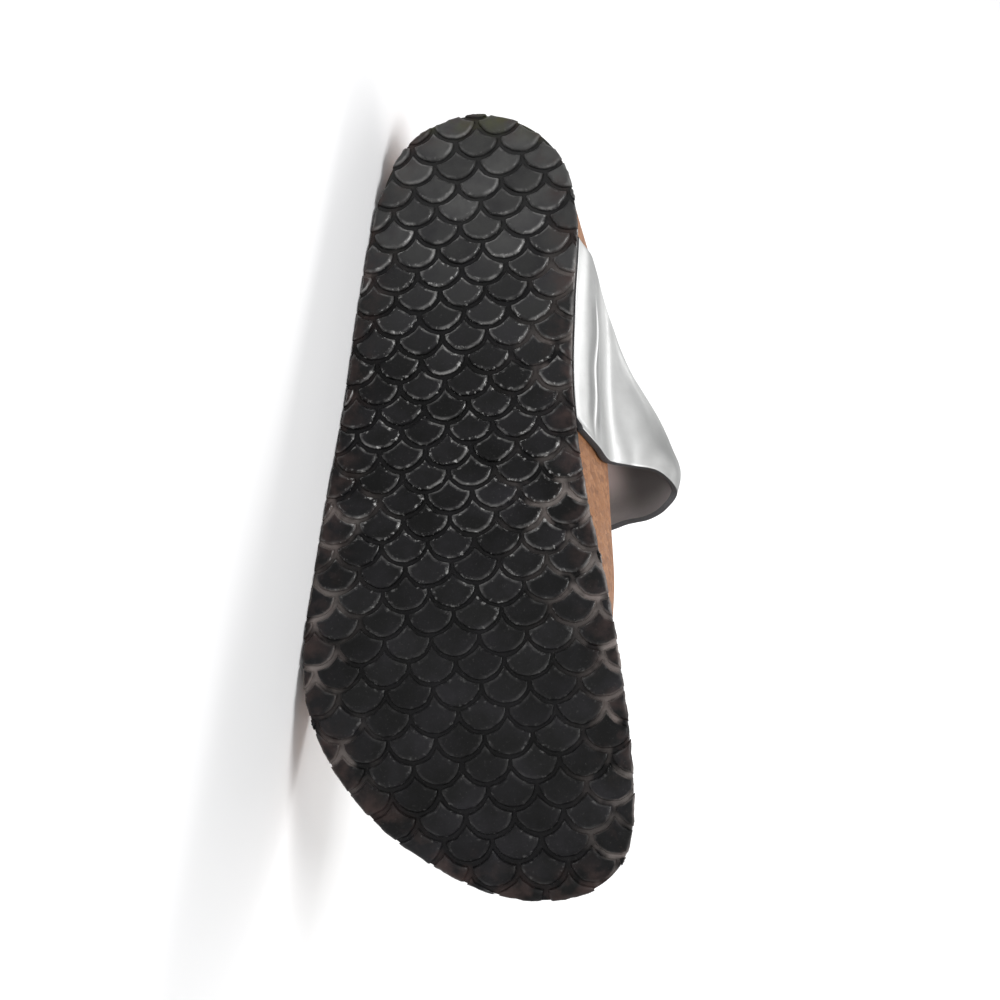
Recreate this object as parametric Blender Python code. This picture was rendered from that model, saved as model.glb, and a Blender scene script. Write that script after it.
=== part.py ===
"""Left toe post sandal lying on its lateral side, with the sole upright.

The shoe is described in its own terms, in millimetres: along runs from the heel
end to the toe tip, across runs from the straight lateral edge to the medial side,
and up runs from the ground under the sole to the foot. Every solid is built in
that upright frame and then laid on its lateral edge by one empty.
"""

import math

import bmesh
import bpy
import numpy as np
from mathutils import Matrix, Vector

MM = 0.001
GAP = 0.3

# Driving sizes of the last, in millimetres.
SOLE_LENGTH = 255.5
STATIONS = 40
HEEL_ROLL = 1.2
HEEL_FLAT_START = 14.0
ARCH_START = 76.0
ARCH_END = 142.0
ARCH_RISE = 2.0
TOE_SPRING_START = 192.0
TOE_SPRING = 10.0

# Outsole sheet.
OUTSOLE_HEEL_THICKNESS = 8.0
OUTSOLE_TOE_THICKNESS = 6.0
OUTSOLE_EDGE_ROUND = 1.2

# Cork wall and the leather on the foot side.
WALL_INSET = 0.8
LATERAL_STRAP_INSET = 2.4
LATERAL_RIM_DRAFT = 3.2
MEDIAL_FLARE = 8.2
MEDIAL_FLARE_CENTRE = 102.0
MEDIAL_FLARE_HEEL_REACH = 84.0
MEDIAL_FLARE_TOE_REACH = 69.0
FLARE_BOW = 0.8
RIM_ROUND = 1.6
WALL_SHARES = (0.0, 0.25, 0.5, 0.75, 1.0)
LINER_THICKNESS = 1.2

# Strap material.
STRAP_THICKNESS = 2.3
STRAP_COLUMNS = 8
STRAP_STEPS_PER_ROW = 2

# Buckle, on the lateral end of the strap.
BUCKLE_WIRE_RADIUS = 1.3
BUCKLE_HALF_WIDTH = 12.2
BUCKLE_ROW = 19.5
HEEL_BAR_BELOW = 5.4
HEEL_BAR_DOWN = 6.5
FRONT_BAR_ABOVE = 2.9
FRONT_BAR_UP = 6.5
PRONG_RADIUS = 0.9
HOLE_RADIUS = 1.5
HOLE_ROWS = (17.6, 18.5, 19.4, 20.6)
PRONG_HOLE_ROW = 19.4

# Toe post, between the first and second toes.
POST_ALONG = 192.5
POST_ACROSS = 68.4
POST_TOP_SLOPE = -0.7
POST_TOP = 38.0
POST_HOLE_CLEARANCE = 0.3
POST_SIDES = 20

# Sole outline: a row for each station, from heel end to toe tip.
OUTLINE = (
    # along, lateral, medial
    (0.0, 33.5, 33.5),
    (7.0, 14.0, 54.0),
    (17.0, 6.2, 63.2),
    (37.0, 1.0, 70.0),
    (65.0, 0.0, 72.2),
    (97.0, 0.3, 75.6),
    (127.0, 0.2, 83.0),
    (160.0, 0.0, 94.0),
    (187.0, 0.4, 101.6),
    (207.0, 4.6, 106.2),
    (227.0, 17.2, 109.0),
    (240.0, 32.0, 107.2),
    (250.0, 51.5, 98.5),
    (SOLE_LENGTH, 77.0, 77.0),
)

# Footbed: heights above the ground and the width of the cup inside each rim.
FOOTBED = (
    # along, floor, lateral_rim, medial_rim, lateral_cup, medial_cup
    (0.0, 21.5, 39.0, 39.0, 24.0, 24.0),
    (35.0, 20.5, 37.0, 38.0, 24.0, 24.0),
    (65.0, 20.0, 32.5, 37.0, 22.0, 28.0),
    (100.0, 20.0, 28.5, 36.0, 18.0, 36.0),
    (130.0, 19.0, 26.5, 31.0, 16.0, 30.0),
    (160.0, 17.5, 25.0, 25.5, 14.0, 18.0),
    (195.0, 16.5, 24.0, 24.0, 13.0, 13.0),
    (225.0, 18.5, 26.5, 26.5, 13.0, 13.0),
    (SOLE_LENGTH, 23.0, 31.0, 31.0, 13.0, 13.0),
)
TOE_BAR_ALONG = 186.0
TOE_BAR_RISE = 2.0
TOE_BAR_WIDTH = 14.0

# Ring weights from the rim (0) to the spine of the foot (1).
TOP_RINGS = (0.05, 0.14, 0.26, 0.42, 0.62, 0.85)
LINER_RINGS = TOP_RINGS

# Strap rows that lie on the medial cork wall: share of the wall height and edge stations.
UPPER_WALL_ROWS = (
    # wall_share, stand_off, back_along, front_along
    (0.02, 0.3, 39.0, 102.0),
    (0.33, 0.6, 43.0, 105.0),
    (0.64, 0.8, 47.0, 107.5),
    (0.95, 1.0, 52.0, 109.5),
)

# Strap folds clear of the wall, from the medial rim over the instep to the free lateral end.
# Each row gives the outer face at the back edge, the middle and the front edge.
UPPER_FOLDS = (
    # back: along, across, up; middle: along, across, up; front: along, across, up
    ((60.5, 82.0, 38.5), (86.0, 89.8, 39.5), (110.2, 94.4, 39.0)),
    ((70.5, 87.0, 45.5), (91.0, 98.2, 45.0), (111.0, 103.0, 43.8)),
    ((79.5, 93.0, 53.0), (97.0, 105.2, 51.5), (115.4, 109.5, 49.0)),
    ((87.0, 94.5, 61.0), (104.0, 104.6, 58.0), (121.2, 106.4, 53.2)),
    ((93.0, 91.0, 68.0), (109.0, 99.6, 64.0), (124.6, 100.5, 57.5)),
    ((97.0, 84.0, 73.5), (112.5, 90.5, 69.0), (127.2, 91.0, 61.0)),
    ((99.0, 76.5, 77.0), (117.0, 80.5, 72.5), (134.0, 82.0, 63.0)),
    ((99.8, 70.5, 78.6), (129.0, 74.0, 72.0), (158.0, 76.3, 57.6)),
    ((100.0, 65.5, 79.3), (148.0, 70.0, 65.8), (195.0, 73.4, 39.6)),
    ((100.0, 61.0, 79.5), (150.0, 65.5, 66.0), (199.0, 68.6, 38.0)),
    ((99.8, 56.5, 79.3), (147.0, 60.5, 65.8), (195.0, 63.6, 39.6)),
    ((98.5, 50.5, 78.0), (126.0, 54.5, 72.0), (156.0, 58.2, 57.6)),
    ((96.5, 44.0, 75.8), (114.0, 46.5, 71.0), (132.0, 48.5, 63.0)),
    ((93.0, 35.0, 71.0), (107.0, 36.0, 67.0), (120.0, 37.0, 61.5)),
    ((89.0, 25.5, 64.0), (100.5, 26.0, 61.8), (112.0, 26.5, 58.8)),
    ((86.6, 17.5, 56.5), (96.5, 17.6, 56.0), (106.5, 17.7, 55.5)),
    ((86.2, 11.0, 48.5), (96.0, 11.0, 48.5), (105.8, 11.0, 48.5)),
    ((86.2, 5.2, 40.0), (96.0, 5.2, 40.0), (105.8, 5.2, 40.0)),
    ((86.4, 1.5, 33.0), (96.0, 1.4, 32.6), (105.6, 1.5, 33.0)),
    ((88.4, 0.3, 29.8), (96.0, 0.1, 28.4), (103.6, 0.3, 29.8)),
)

# Buckle strap: rows on the lateral cork wall, then free folds up to the heel bar.
BUCKLE_STRAP_WALL_ROWS = (
    # wall_share, stand_off, back_along, front_along
    (0.02, 0.3, 70.0, 124.0),
    (0.33, 0.35, 72.5, 121.5),
    (0.64, 0.4, 75.5, 118.0),
    (0.98, 0.5, 79.5, 113.5),
)
BUCKLE_STRAP_FOLDS = (
    # across, up, back_along, front_along
    (5.6, 34.5, 84.0, 108.5),
    (9.2, 39.8, 86.4, 105.8),
)
LOOP_RADIUS = 3.6
LOOP_ANGLES = (205.0, 165.0, 125.0, 85.0, 45.0, 5.0, -35.0)
LOOP_TURN_BACK = 5.0
LOOP_HALF_WIDTH = 9.6
LOOP_THICKNESS = 2.0


def shoe_point(along, across, up):
    """A point of the shoe in metres: along the foot, across to the medial side, and up."""
    return Vector((along, -across, up)) * MM


def curve_through(knots, values):
    """A smooth curve through the given values, with no overshoot at level stretches."""
    knots = np.asarray(knots, float)
    values = np.asarray(values, float)
    chords = np.diff(values, axis=0) / np.diff(knots).reshape((-1,) + (1,) * (values.ndim - 1))
    slopes = np.empty_like(values)
    slopes[0] = chords[0]
    slopes[-1] = chords[-1]
    slopes[1:-1] = (chords[:-1] + chords[1:]) / 2

    def at(position):
        position = min(max(position, knots[0]), knots[-1])
        k = min(int(np.searchsorted(knots, position, side="right")) - 1, len(knots) - 2)
        width = knots[k + 1] - knots[k]
        t = (position - knots[k]) / width
        start = (2 * t**3 - 3 * t**2 + 1) * values[k] + (t**3 - 2 * t**2 + t) * width * slopes[k]
        end = (3 * t**2 - 2 * t**3) * values[k + 1] + (t**3 - t**2) * width * slopes[k + 1]
        return start + end

    return at


def station_of(along):
    """Share of a half turn, so that stations crowd at the round heel and toe."""
    return math.acos(1 - 2 * min(max(along / SOLE_LENGTH, 0), 1)) / math.pi


def along_of(station):
    return SOLE_LENGTH * (1 - math.cos(math.pi * station)) / 2


OUTLINE_KNOTS = [station_of(row[0]) for row in OUTLINE]
LATERAL_CURVE = curve_through(OUTLINE_KNOTS, [row[1] for row in OUTLINE])
MEDIAL_CURVE = curve_through(OUTLINE_KNOTS, [row[2] for row in OUTLINE])
FOOTBED_CURVE = curve_through([row[0] for row in FOOTBED], [row[1:] for row in FOOTBED])


def lateral_edge(station):
    return max(float(LATERAL_CURVE(station)), 0.0)


def medial_edge(station):
    return float(MEDIAL_CURVE(station))


def smooth_step(value):
    value = min(max(value, 0.0), 1.0)
    return value * value * (3 - 2 * value)


def ground_rise(along):
    """Height of the sole's underside: heel roll, heel flat, arch, forefoot flat, toe spring."""
    heel = HEEL_ROLL * max(0.0, 1 - along / HEEL_FLAT_START) ** 2
    arch_share = (along - ARCH_START) / (ARCH_END - ARCH_START)
    arch = ARCH_RISE * math.sin(math.pi * arch_share) ** 2 if 0 < arch_share < 1 else 0.0
    spring_share = max(0.0, (along - TOE_SPRING_START) / (SOLE_LENGTH - TOE_SPRING_START))
    return heel + arch + TOE_SPRING * spring_share**1.8


def outsole_top(along):
    share = along / SOLE_LENGTH
    thickness = OUTSOLE_HEEL_THICKNESS + (OUTSOLE_TOE_THICKNESS - OUTSOLE_HEEL_THICKNESS) * share
    return ground_rise(along) + thickness


def window(along, start, end, blend):
    """1 between start and end, falling smoothly to 0 over the blend on either side."""
    return smooth_step((along - start + blend) / blend) * smooth_step((end + blend - along) / blend)


def wall_inset(along, side):
    """How far the foot of the cork wall stands back from the outsole's edge."""
    if side == "medial":
        return WALL_INSET
    return WALL_INSET + (LATERAL_STRAP_INSET - WALL_INSET) * window(along, 68.0, 126.0, 12.0)


def rim_offset(along, side):
    """How far the rim of the cork wall leans out from its foot, or in where negative."""
    if side == "lateral":
        return -LATERAL_RIM_DRAFT * window(along, 62.0, 132.0, 25.0)
    heelward = along < MEDIAL_FLARE_CENTRE
    reach = MEDIAL_FLARE_HEEL_REACH if heelward else MEDIAL_FLARE_TOE_REACH
    turn = min(1.0, abs(along - MEDIAL_FLARE_CENTRE) / reach) * math.pi / 2
    return MEDIAL_FLARE * math.cos(turn) ** 1.2


class Outline:
    """The sole's closed outline: heel end, lateral side, toe tip, medial side."""

    def __init__(self):
        stations = [k / STATIONS for k in range(STATIONS + 1)]
        self.stations = stations + stations[-2:0:-1]
        self.sides = ["lateral"] * (STATIONS + 1) + ["medial"] * (STATIONS - 1)
        edge = {"lateral": lateral_edge, "medial": medial_edge}
        self.points = [
            np.array((along_of(s), edge[side](s))) for s, side in zip(self.stations, self.sides)
        ]
        self.count = len(self.points)
        self.normals = [self.normal(k) for k in range(self.count)]

    def normal(self, k):
        ahead = self.points[(k + 1) % self.count] - self.points[k - 1]
        return np.array((-ahead[1], ahead[0])) / np.linalg.norm(ahead) * -1

    def outward(self, k, distance):
        return self.points[k] - self.normals[k] * -distance

    def spine(self, k):
        """The point on the middle line of the foot that edge point k faces."""
        along = min(max(self.points[k][0], 36.0), 212.0)
        station = station_of(along)
        return np.array((along, (lateral_edge(station) + medial_edge(station)) / 2))


OUTLINE_LOOP = Outline()


def edge_point(along, side, distance):
    """A point beside the outline at one station, moved outwards by a distance."""
    step = 0.002
    edge = lateral_edge if side == "lateral" else medial_edge
    station = station_of(along)
    before = np.array((along_of(station - step), edge(station - step)))
    after = np.array((along_of(station + step), edge(station + step)))
    run = (after - before) / np.linalg.norm(after - before)
    out = np.array((run[1], -run[0])) if side == "lateral" else np.array((-run[1], run[0]))
    return np.array((along, edge(station))) + out * distance


def wall_offset(along, side, share):
    return -wall_inset(along, side) + rim_offset(along, side) * share**FLARE_BOW


def wall_height(along, side, share):
    """Height on the cork wall, from its foot (0) to its rim (1)."""
    rim = FOOTBED_CURVE(along)[1 if side == "lateral" else 2]
    foot = outsole_top(along) + GAP
    return foot + (rim - RIM_ROUND - foot) * share


def footbed_top(k, weight):
    """The cork's top surface on the line from edge point k to the spine."""
    rim_at = OUTLINE_LOOP.outward(k, wall_offset(OUTLINE_LOOP.points[k][0], OUTLINE_LOOP.sides[k], 1.0))
    spot = rim_at + (OUTLINE_LOOP.spine(k) - rim_at) * weight
    inside = weight * np.linalg.norm(OUTLINE_LOOP.spine(k) - rim_at)
    lateral = OUTLINE_LOOP.sides[k] == "lateral"
    rim, cup = FOOTBED_CURVE(OUTLINE_LOOP.points[k][0])[[1, 3] if lateral else [2, 4]]
    floor = FOOTBED_CURVE(spot[0])[0]
    bar_share = (spot[0] - TOE_BAR_ALONG) / TOE_BAR_WIDTH
    floor += TOE_BAR_RISE * math.exp(-(bar_share**2)) * smooth_step(inside / cup)
    fall = 1 - smooth_step((inside - 2.0) / cup)
    return spot[0], spot[1], floor + (rim - floor) * fall


def bridge(bm, first, second):
    """Quads between two rings of vertices."""
    count = len(first)
    for k in range(count):
        bm.faces.new((first[k], first[(k + 1) % count], second[(k + 1) % count], second[k]))


def close_across(bm, ring):
    """Faces that run straight across a foot-shaped ring, from lateral to medial."""
    count = len(ring)
    bm.faces.new((ring[0], ring[1], ring[-1]))
    for k in range(1, count // 2 - 1):
        bm.faces.new((ring[k], ring[k + 1], ring[count - k - 1], ring[count - k]))
    half = count // 2
    bm.faces.new((ring[half - 1], ring[half], ring[half + 1]))


def finish_mesh(bm, name, smooth_angle=35.0):
    bmesh.ops.recalc_face_normals(bm, faces=bm.faces)
    mesh = bpy.data.meshes.new(name)
    bm.to_mesh(mesh)
    bm.free()
    mesh.shade_smooth()
    mesh.set_sharp_from_angle(angle=math.radians(smooth_angle))
    part = bpy.data.objects.new(name, mesh)
    bpy.context.scene.collection.objects.link(part)
    return part


def layer(name, rings):
    """A closed foot-shaped solid from its rings, first underneath and last on top."""
    bm = bmesh.new()
    loops = [[bm.verts.new(shoe_point(*spot)) for spot in ring] for ring in rings]
    for first, second in zip(loops, loops[1:]):
        bridge(bm, first, second)
    close_across(bm, loops[0])
    close_across(bm, loops[-1])
    bmesh.ops.triangulate(bm, faces=bm.faces, quad_method="SHORT_EDGE")
    return finish_mesh(bm, name)


def edge_ring(offset, height):
    """A ring beside the outline: offset and height are functions of along and side."""
    ring = []
    for k in range(OUTLINE_LOOP.count):
        along = OUTLINE_LOOP.points[k][0]
        side = OUTLINE_LOOP.sides[k]
        spot = OUTLINE_LOOP.outward(k, offset(along, side))
        ring.append((spot[0], spot[1], height(along, side)))
    return ring


def make_outsole():
    lower_edge = ground_rise
    rings = [
        edge_ring(lambda x, side: -OUTSOLE_EDGE_ROUND, lambda x, side: lower_edge(x)),
        edge_ring(lambda x, side: 0.0, lambda x, side: lower_edge(x) + OUTSOLE_EDGE_ROUND),
        edge_ring(lambda x, side: 0.0, lambda x, side: outsole_top(x)),
    ]
    return layer("outsole", rings)


def make_footbed():
    rings = []
    for share in WALL_SHARES:
        rings.append(
            edge_ring(
                lambda x, side, s=share: wall_offset(x, side, s),
                lambda x, side, s=share: wall_height(x, side, s),
            )
        )
    for weight in TOP_RINGS:
        rings.append([footbed_top(k, weight) for k in range(OUTLINE_LOOP.count)])
    return layer("footbed", rings)


def make_insole():
    """The suede liner: the cork's top surface again, one gap higher and a liner thick."""
    rings = []
    for rise, weights in ((GAP, LINER_RINGS[::-1]), (GAP + LINER_THICKNESS, LINER_RINGS)):
        for weight in weights:
            ring = [footbed_top(k, weight) for k in range(OUTLINE_LOOP.count)]
            rings.append([(along, across, up + rise) for along, across, up in ring])
    return layer("insole", rings)


def wall_row(side, share, back, front, outside):
    """Strap points on the cork wall from the back edge to the front edge."""
    row = []
    for c in range(STRAP_COLUMNS + 1):
        along = back + (front - back) * c / STRAP_COLUMNS
        distance = wall_offset(along, side, share) + outside
        spot = edge_point(along, side, distance)
        row.append((spot[0], spot[1], wall_height(along, side, share)))
    return np.array(row)


def fold_row(back, middle, front):
    """Strap points on one fold: a parabola through its back, middle and front points."""
    back, middle, front = (np.array(p) for p in (back, middle, front))
    shares = [c / STRAP_COLUMNS for c in range(STRAP_COLUMNS + 1)]
    return np.array(
        [
            back * (1 - t) * (1 - 2 * t) + middle * 4 * t * (1 - t) + front * t * (2 * t - 1)
            for t in shares
        ]
    )


def upper_rows():
    rows = [
        wall_row("medial", share, back, front, stand_off + STRAP_THICKNESS)
        for share, stand_off, back, front in UPPER_WALL_ROWS
    ]
    rows += [fold_row(*fold) for fold in UPPER_FOLDS]
    return rows


UPPER_ROWS = upper_rows()
UPPER_SURFACE = curve_through(range(len(UPPER_ROWS)), UPPER_ROWS)


def upper_spot(row):
    """Middle of the strap at a row: its place, its run down the strap and its outward normal."""
    middle = STRAP_COLUMNS // 2
    here = UPPER_SURFACE(row)[middle]
    run = UPPER_SURFACE(row + 0.2)[middle] - UPPER_SURFACE(row - 0.2)[middle]
    width = UPPER_SURFACE(row)[-1] - UPPER_SURFACE(row)[0]
    out = np.cross(width, run)
    out /= np.linalg.norm(out)
    if out[1] > 0:
        out = -out
    return here, run / np.linalg.norm(run), out


def strap_mesh(name, rows, thickness):
    """A strap from rows of points on its outer face, given its thickness inwards."""
    bm = bmesh.new()
    grid = [[bm.verts.new(shoe_point(*spot)) for spot in row] for row in rows]
    for first, second in zip(grid, grid[1:]):
        for c in range(len(first) - 1):
            bm.faces.new((first[c], first[c + 1], second[c + 1], second[c]))
    mesh = bpy.data.meshes.new(name)
    bm.to_mesh(mesh)
    bm.free()
    mesh.shade_smooth()
    part = bpy.data.objects.new(name, mesh)
    bpy.context.scene.collection.objects.link(part)
    wall = part.modifiers.new("wall", "SOLIDIFY")
    wall.thickness = thickness * MM
    wall.offset = -1.0
    wall.use_even_offset = True
    return part


def make_upper():
    steps = STRAP_STEPS_PER_ROW * (len(UPPER_ROWS) - 1)
    rows = [UPPER_SURFACE(k / STRAP_STEPS_PER_ROW) for k in range(steps + 1)]
    upper = strap_mesh("upper", rows, STRAP_THICKNESS)
    for number, row in enumerate(HOLE_ROWS):
        here, _, out = upper_spot(row)
        cutter = rod(f"strap_hole_{number}", here - out * 6, here + out * 4, HOLE_RADIUS, 12)
        cut_with(upper, cutter)
    return upper


def turned_matrix(start, end):
    """A frame whose Z runs from start to end, both in shoe millimetres."""
    low, high = shoe_point(*start), shoe_point(*end)
    turn = (high - low).to_track_quat("Z", "Y").to_matrix().to_4x4()
    return Matrix.Translation((low + high) / 2) @ turn, (high - low).length


def rod(name, start, end, radius, sides):
    bm = bmesh.new()
    frame, length = turned_matrix(start, end)
    bmesh.ops.create_cone(
        bm,
        cap_ends=True,
        segments=sides,
        radius1=radius * MM,
        radius2=radius * MM,
        depth=length,
        matrix=frame,
    )
    return finish_mesh(bm, name)


def cut_with(part, cutter):
    cutter.hide_render = True
    cutter.display_type = "WIRE"
    cut = part.modifiers.new(cutter.name, "BOOLEAN")
    cut.operation = "DIFFERENCE"
    cut.object = cutter
    return cut


def buckle_bars():
    """Centres of the heel bar and the front bar, and the strap's frame at the buckle."""
    here, run, out = upper_spot(BUCKLE_ROW)
    middle = here - out * STRAP_THICKNESS / 2
    heel_bar = middle + run * HEEL_BAR_DOWN - out * HEEL_BAR_BELOW
    front_bar = middle - run * FRONT_BAR_UP + out * FRONT_BAR_ABOVE
    return heel_bar, front_bar, run, out


def make_buckle_strap():
    rows = [
        wall_row("lateral", share, back, front, stand_off + LOOP_THICKNESS)
        for share, stand_off, back, front in BUCKLE_STRAP_WALL_ROWS
    ]
    shares = [c / STRAP_COLUMNS for c in range(STRAP_COLUMNS + 1)]
    for across, up, back, front in BUCKLE_STRAP_FOLDS:
        rows.append(np.array([(back + (front - back) * t, across, up) for t in shares]))
    heel_bar, _, _, _ = buckle_bars()
    middle = heel_bar[0]
    for angle in LOOP_ANGLES:
        turn = math.radians(angle)
        across = heel_bar[1] + LOOP_RADIUS * math.cos(turn)
        up = heel_bar[2] + LOOP_RADIUS * math.sin(turn)
        rows.append(np.array([(middle + LOOP_HALF_WIDTH * (2 * t - 1), across, up) for t in shares]))
    last = rows[-1]
    run = (last - rows[-2]) / np.linalg.norm(last[0] - rows[-2][0])
    rows.append(last + run * LOOP_TURN_BACK)
    return strap_mesh("buckle_strap", rows[::-1], LOOP_THICKNESS)


def make_buckle_frame():
    """A bent wire rectangle round the strap, its heel bar inside and its front bar outside."""
    heel_bar, front_bar, _, _ = buckle_bars()
    side = np.array((BUCKLE_HALF_WIDTH, 0.0, 0.0))
    corners = [heel_bar - side, heel_bar + side, front_bar + side, front_bar - side]
    curve = bpy.data.curves.new("buckle_frame", "CURVE")
    curve.dimensions = "3D"
    curve.bevel_depth = BUCKLE_WIRE_RADIUS * MM
    curve.bevel_resolution = 2
    spline = curve.splines.new("POLY")
    points = rounded_corners(corners, radius=3.0, steps=4)
    spline.points.add(len(points) - 1)
    for target, spot in zip(spline.points, points):
        target.co = (*shoe_point(*spot), 1.0)
    spline.use_cyclic_u = True
    frame = bpy.data.objects.new("buckle_frame", curve)
    bpy.context.scene.collection.objects.link(frame)
    return frame


def rounded_corners(corners, radius, steps):
    """The corners of a closed outline, each replaced by an arc-like run of points."""
    points = []
    for k, corner in enumerate(corners):
        before = corners[k - 1] - corner
        after = corners[(k + 1) % len(corners)] - corner
        start = corner + before / np.linalg.norm(before) * radius
        end = corner + after / np.linalg.norm(after) * radius
        for s in range(steps + 1):
            t = s / steps
            points.append(start * (1 - t) ** 2 + corner * 2 * t * (1 - t) + end * t**2)
    return points


def make_buckle_prong():
    """The pin, hinged at the heel bar, through its hole and over the front bar."""
    heel_bar, front_bar, run, out = buckle_bars()
    hole, _, hole_out = upper_spot(PRONG_HOLE_ROW)
    clear = BUCKLE_WIRE_RADIUS + PRONG_RADIUS + GAP
    under = hole - hole_out * (STRAP_THICKNESS + PRONG_RADIUS + 0.2)
    hinge = under - heel_bar
    start = heel_bar + hinge / np.linalg.norm(hinge) * (LOOP_RADIUS + GAP + 0.2)
    rise = hole + hole_out * (PRONG_RADIUS + 0.8)
    rest = front_bar + out * clear
    tip = rest - run * 2.6
    curve = bpy.data.curves.new("buckle_prong", "CURVE")
    curve.dimensions = "3D"
    curve.bevel_depth = PRONG_RADIUS * MM
    curve.bevel_resolution = 2
    curve.use_fill_caps = True
    spline = curve.splines.new("POLY")
    spots = [start, under, hole - hole_out * 0.5, rise - run * 0.6, rest, tip]
    spline.points.add(len(spots) - 1)
    for target, spot in zip(spline.points, spots):
        target.co = (*shoe_point(*spot), 1.0)
    prong = bpy.data.objects.new("buckle_prong", curve)
    bpy.context.scene.collection.objects.link(prong)
    return prong


def make_toe_post(footbed, insole):
    """An oval post from the outsole up through the cork and liner to the tip of the strap."""
    floor = FOOTBED_CURVE(POST_ALONG)[0]
    foot = outsole_top(POST_ALONG) + GAP * 2
    sections = (
        # up, half length along, half width across
        (foot, 5.0, 3.2),
        (floor + 4.0, 5.0, 3.2),
        (floor + 8.0, 4.2, 2.8),
        (POST_TOP - 5.0, 4.4, 3.0),
        (POST_TOP, 5.2, 3.6),
    )
    bm = bmesh.new()
    rings = [post_ring(bm, up, long, wide) for up, long, wide in sections]
    for vert in rings[-1]:
        vert.co.z += POST_TOP_SLOPE * (vert.co.x - POST_ALONG * MM)
    for first, second in zip(rings, rings[1:]):
        bridge(bm, first, second)
    bm.faces.new(rings[0])
    bm.faces.new(rings[-1])
    post = finish_mesh(bm, "toe_post")
    bm = bmesh.new()
    long, wide = 5.0 + POST_HOLE_CLEARANCE, 3.2 + POST_HOLE_CLEARANCE
    low = post_ring(bm, foot - 5.0, long, wide)
    high = post_ring(bm, floor + 7.0, long, wide)
    bridge(bm, low, high)
    bm.faces.new(low)
    bm.faces.new(high)
    cutter = finish_mesh(bm, "toe_post_hole")
    for part in (footbed, insole):
        cut_with(part, cutter)
    return post


def post_ring(bm, up, long, wide):
    ring = []
    for k in range(POST_SIDES):
        turn = 2 * math.pi * k / POST_SIDES
        spot = shoe_point(
            POST_ALONG + long * math.cos(turn), POST_ACROSS + wide * math.sin(turn), up
        )
        ring.append(bm.verts.new(spot))
    return ring


MATERIALS = {
    # name: colour, roughness, metallic
    "outsole": ((0.022, 0.020, 0.020, 1.0), 0.55, 0.0),
    "footbed": ((0.42, 0.20, 0.09, 1.0), 0.85, 0.0),
    "insole": ((0.36, 0.22, 0.13, 1.0), 0.95, 0.0),
    "upper": ((0.62, 0.63, 0.64, 1.0), 0.38, 0.35),
    "buckle_strap": ((0.62, 0.63, 0.64, 1.0), 0.38, 0.35),
    "toe_post": ((0.55, 0.56, 0.57, 1.0), 0.45, 0.2),
    "buckle_frame": ((0.60, 0.60, 0.62, 1.0), 0.3, 1.0),
    "buckle_prong": ((0.60, 0.60, 0.62, 1.0), 0.3, 1.0),
}


def paint(part):
    colour, roughness, metallic = MATERIALS[part.name]
    material = bpy.data.materials.new(part.name)
    material.use_nodes = True
    shader = material.node_tree.nodes["Principled BSDF"]
    shader.inputs["Base Color"].default_value = colour
    shader.inputs["Roughness"].default_value = roughness
    shader.inputs["Metallic"].default_value = metallic
    part.data.materials.append(material)


def lay_on_side(parts):
    """Turns the shoe onto its lateral edge and centres its box over the origin, on the floor."""
    bpy.context.view_layer.update()
    graph = bpy.context.evaluated_depsgraph_get()
    spots = []
    for part in parts:
        seen = part.evaluated_get(graph)
        spots += [vert.co.copy() for vert in seen.to_mesh().vertices]
        seen.to_mesh_clear()
    low = Vector([min(spot[axis] for spot in spots) for axis in range(3)])
    high = Vector([max(spot[axis] for spot in spots) for axis in range(3)])
    rest = bpy.data.objects.new("lying_on_lateral_side", None)
    bpy.context.scene.collection.objects.link(rest)
    rest.rotation_euler = (-math.pi / 2, 0.0, 0.0)
    rest.location = (-(low.x + high.x) / 2, -(low.z + high.z) / 2, high.y)
    for thing in bpy.context.scene.objects:
        if thing is not rest:
            thing.parent = rest


def main():
    for thing in list(bpy.data.objects):
        bpy.data.objects.remove(thing)
    outsole = make_outsole()
    footbed = make_footbed()
    insole = make_insole()
    upper = make_upper()
    buckle_strap = make_buckle_strap()
    frame = make_buckle_frame()
    prong = make_buckle_prong()
    post = make_toe_post(footbed, insole)
    parts = (outsole, footbed, insole, upper, buckle_strap, frame, prong, post)
    for part in parts:
        paint(part)
    lay_on_side(parts)


main()
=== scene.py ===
# %% [markdown]
# A worn toe post sandal lies on its outer edge, so its tread faces the camera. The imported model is
# the fixed frame: it gives each piece its place and its real size. Everything after this cell only
# dresses that frame, so the first job is to load it and to note the box that it fills.

# %% Load the frame
import math

import bmesh
import bpy
import numpy as np
from mathutils import Matrix, Vector
from mathutils.kdtree import KDTree


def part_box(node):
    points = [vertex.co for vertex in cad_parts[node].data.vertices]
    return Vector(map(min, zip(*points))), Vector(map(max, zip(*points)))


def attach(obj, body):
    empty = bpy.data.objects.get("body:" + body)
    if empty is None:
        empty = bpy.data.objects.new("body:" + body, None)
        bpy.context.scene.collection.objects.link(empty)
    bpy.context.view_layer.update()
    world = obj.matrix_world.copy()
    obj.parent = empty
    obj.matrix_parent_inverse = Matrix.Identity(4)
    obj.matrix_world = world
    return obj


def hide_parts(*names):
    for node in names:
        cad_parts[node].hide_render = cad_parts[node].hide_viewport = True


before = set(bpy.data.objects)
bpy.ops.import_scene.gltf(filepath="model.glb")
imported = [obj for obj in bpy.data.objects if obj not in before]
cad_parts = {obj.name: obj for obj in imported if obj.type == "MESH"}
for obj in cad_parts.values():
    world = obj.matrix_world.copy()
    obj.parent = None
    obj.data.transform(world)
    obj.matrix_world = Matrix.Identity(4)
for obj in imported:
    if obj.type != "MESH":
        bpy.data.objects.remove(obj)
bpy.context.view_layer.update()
print("frame nodes:", sorted(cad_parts))

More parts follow.
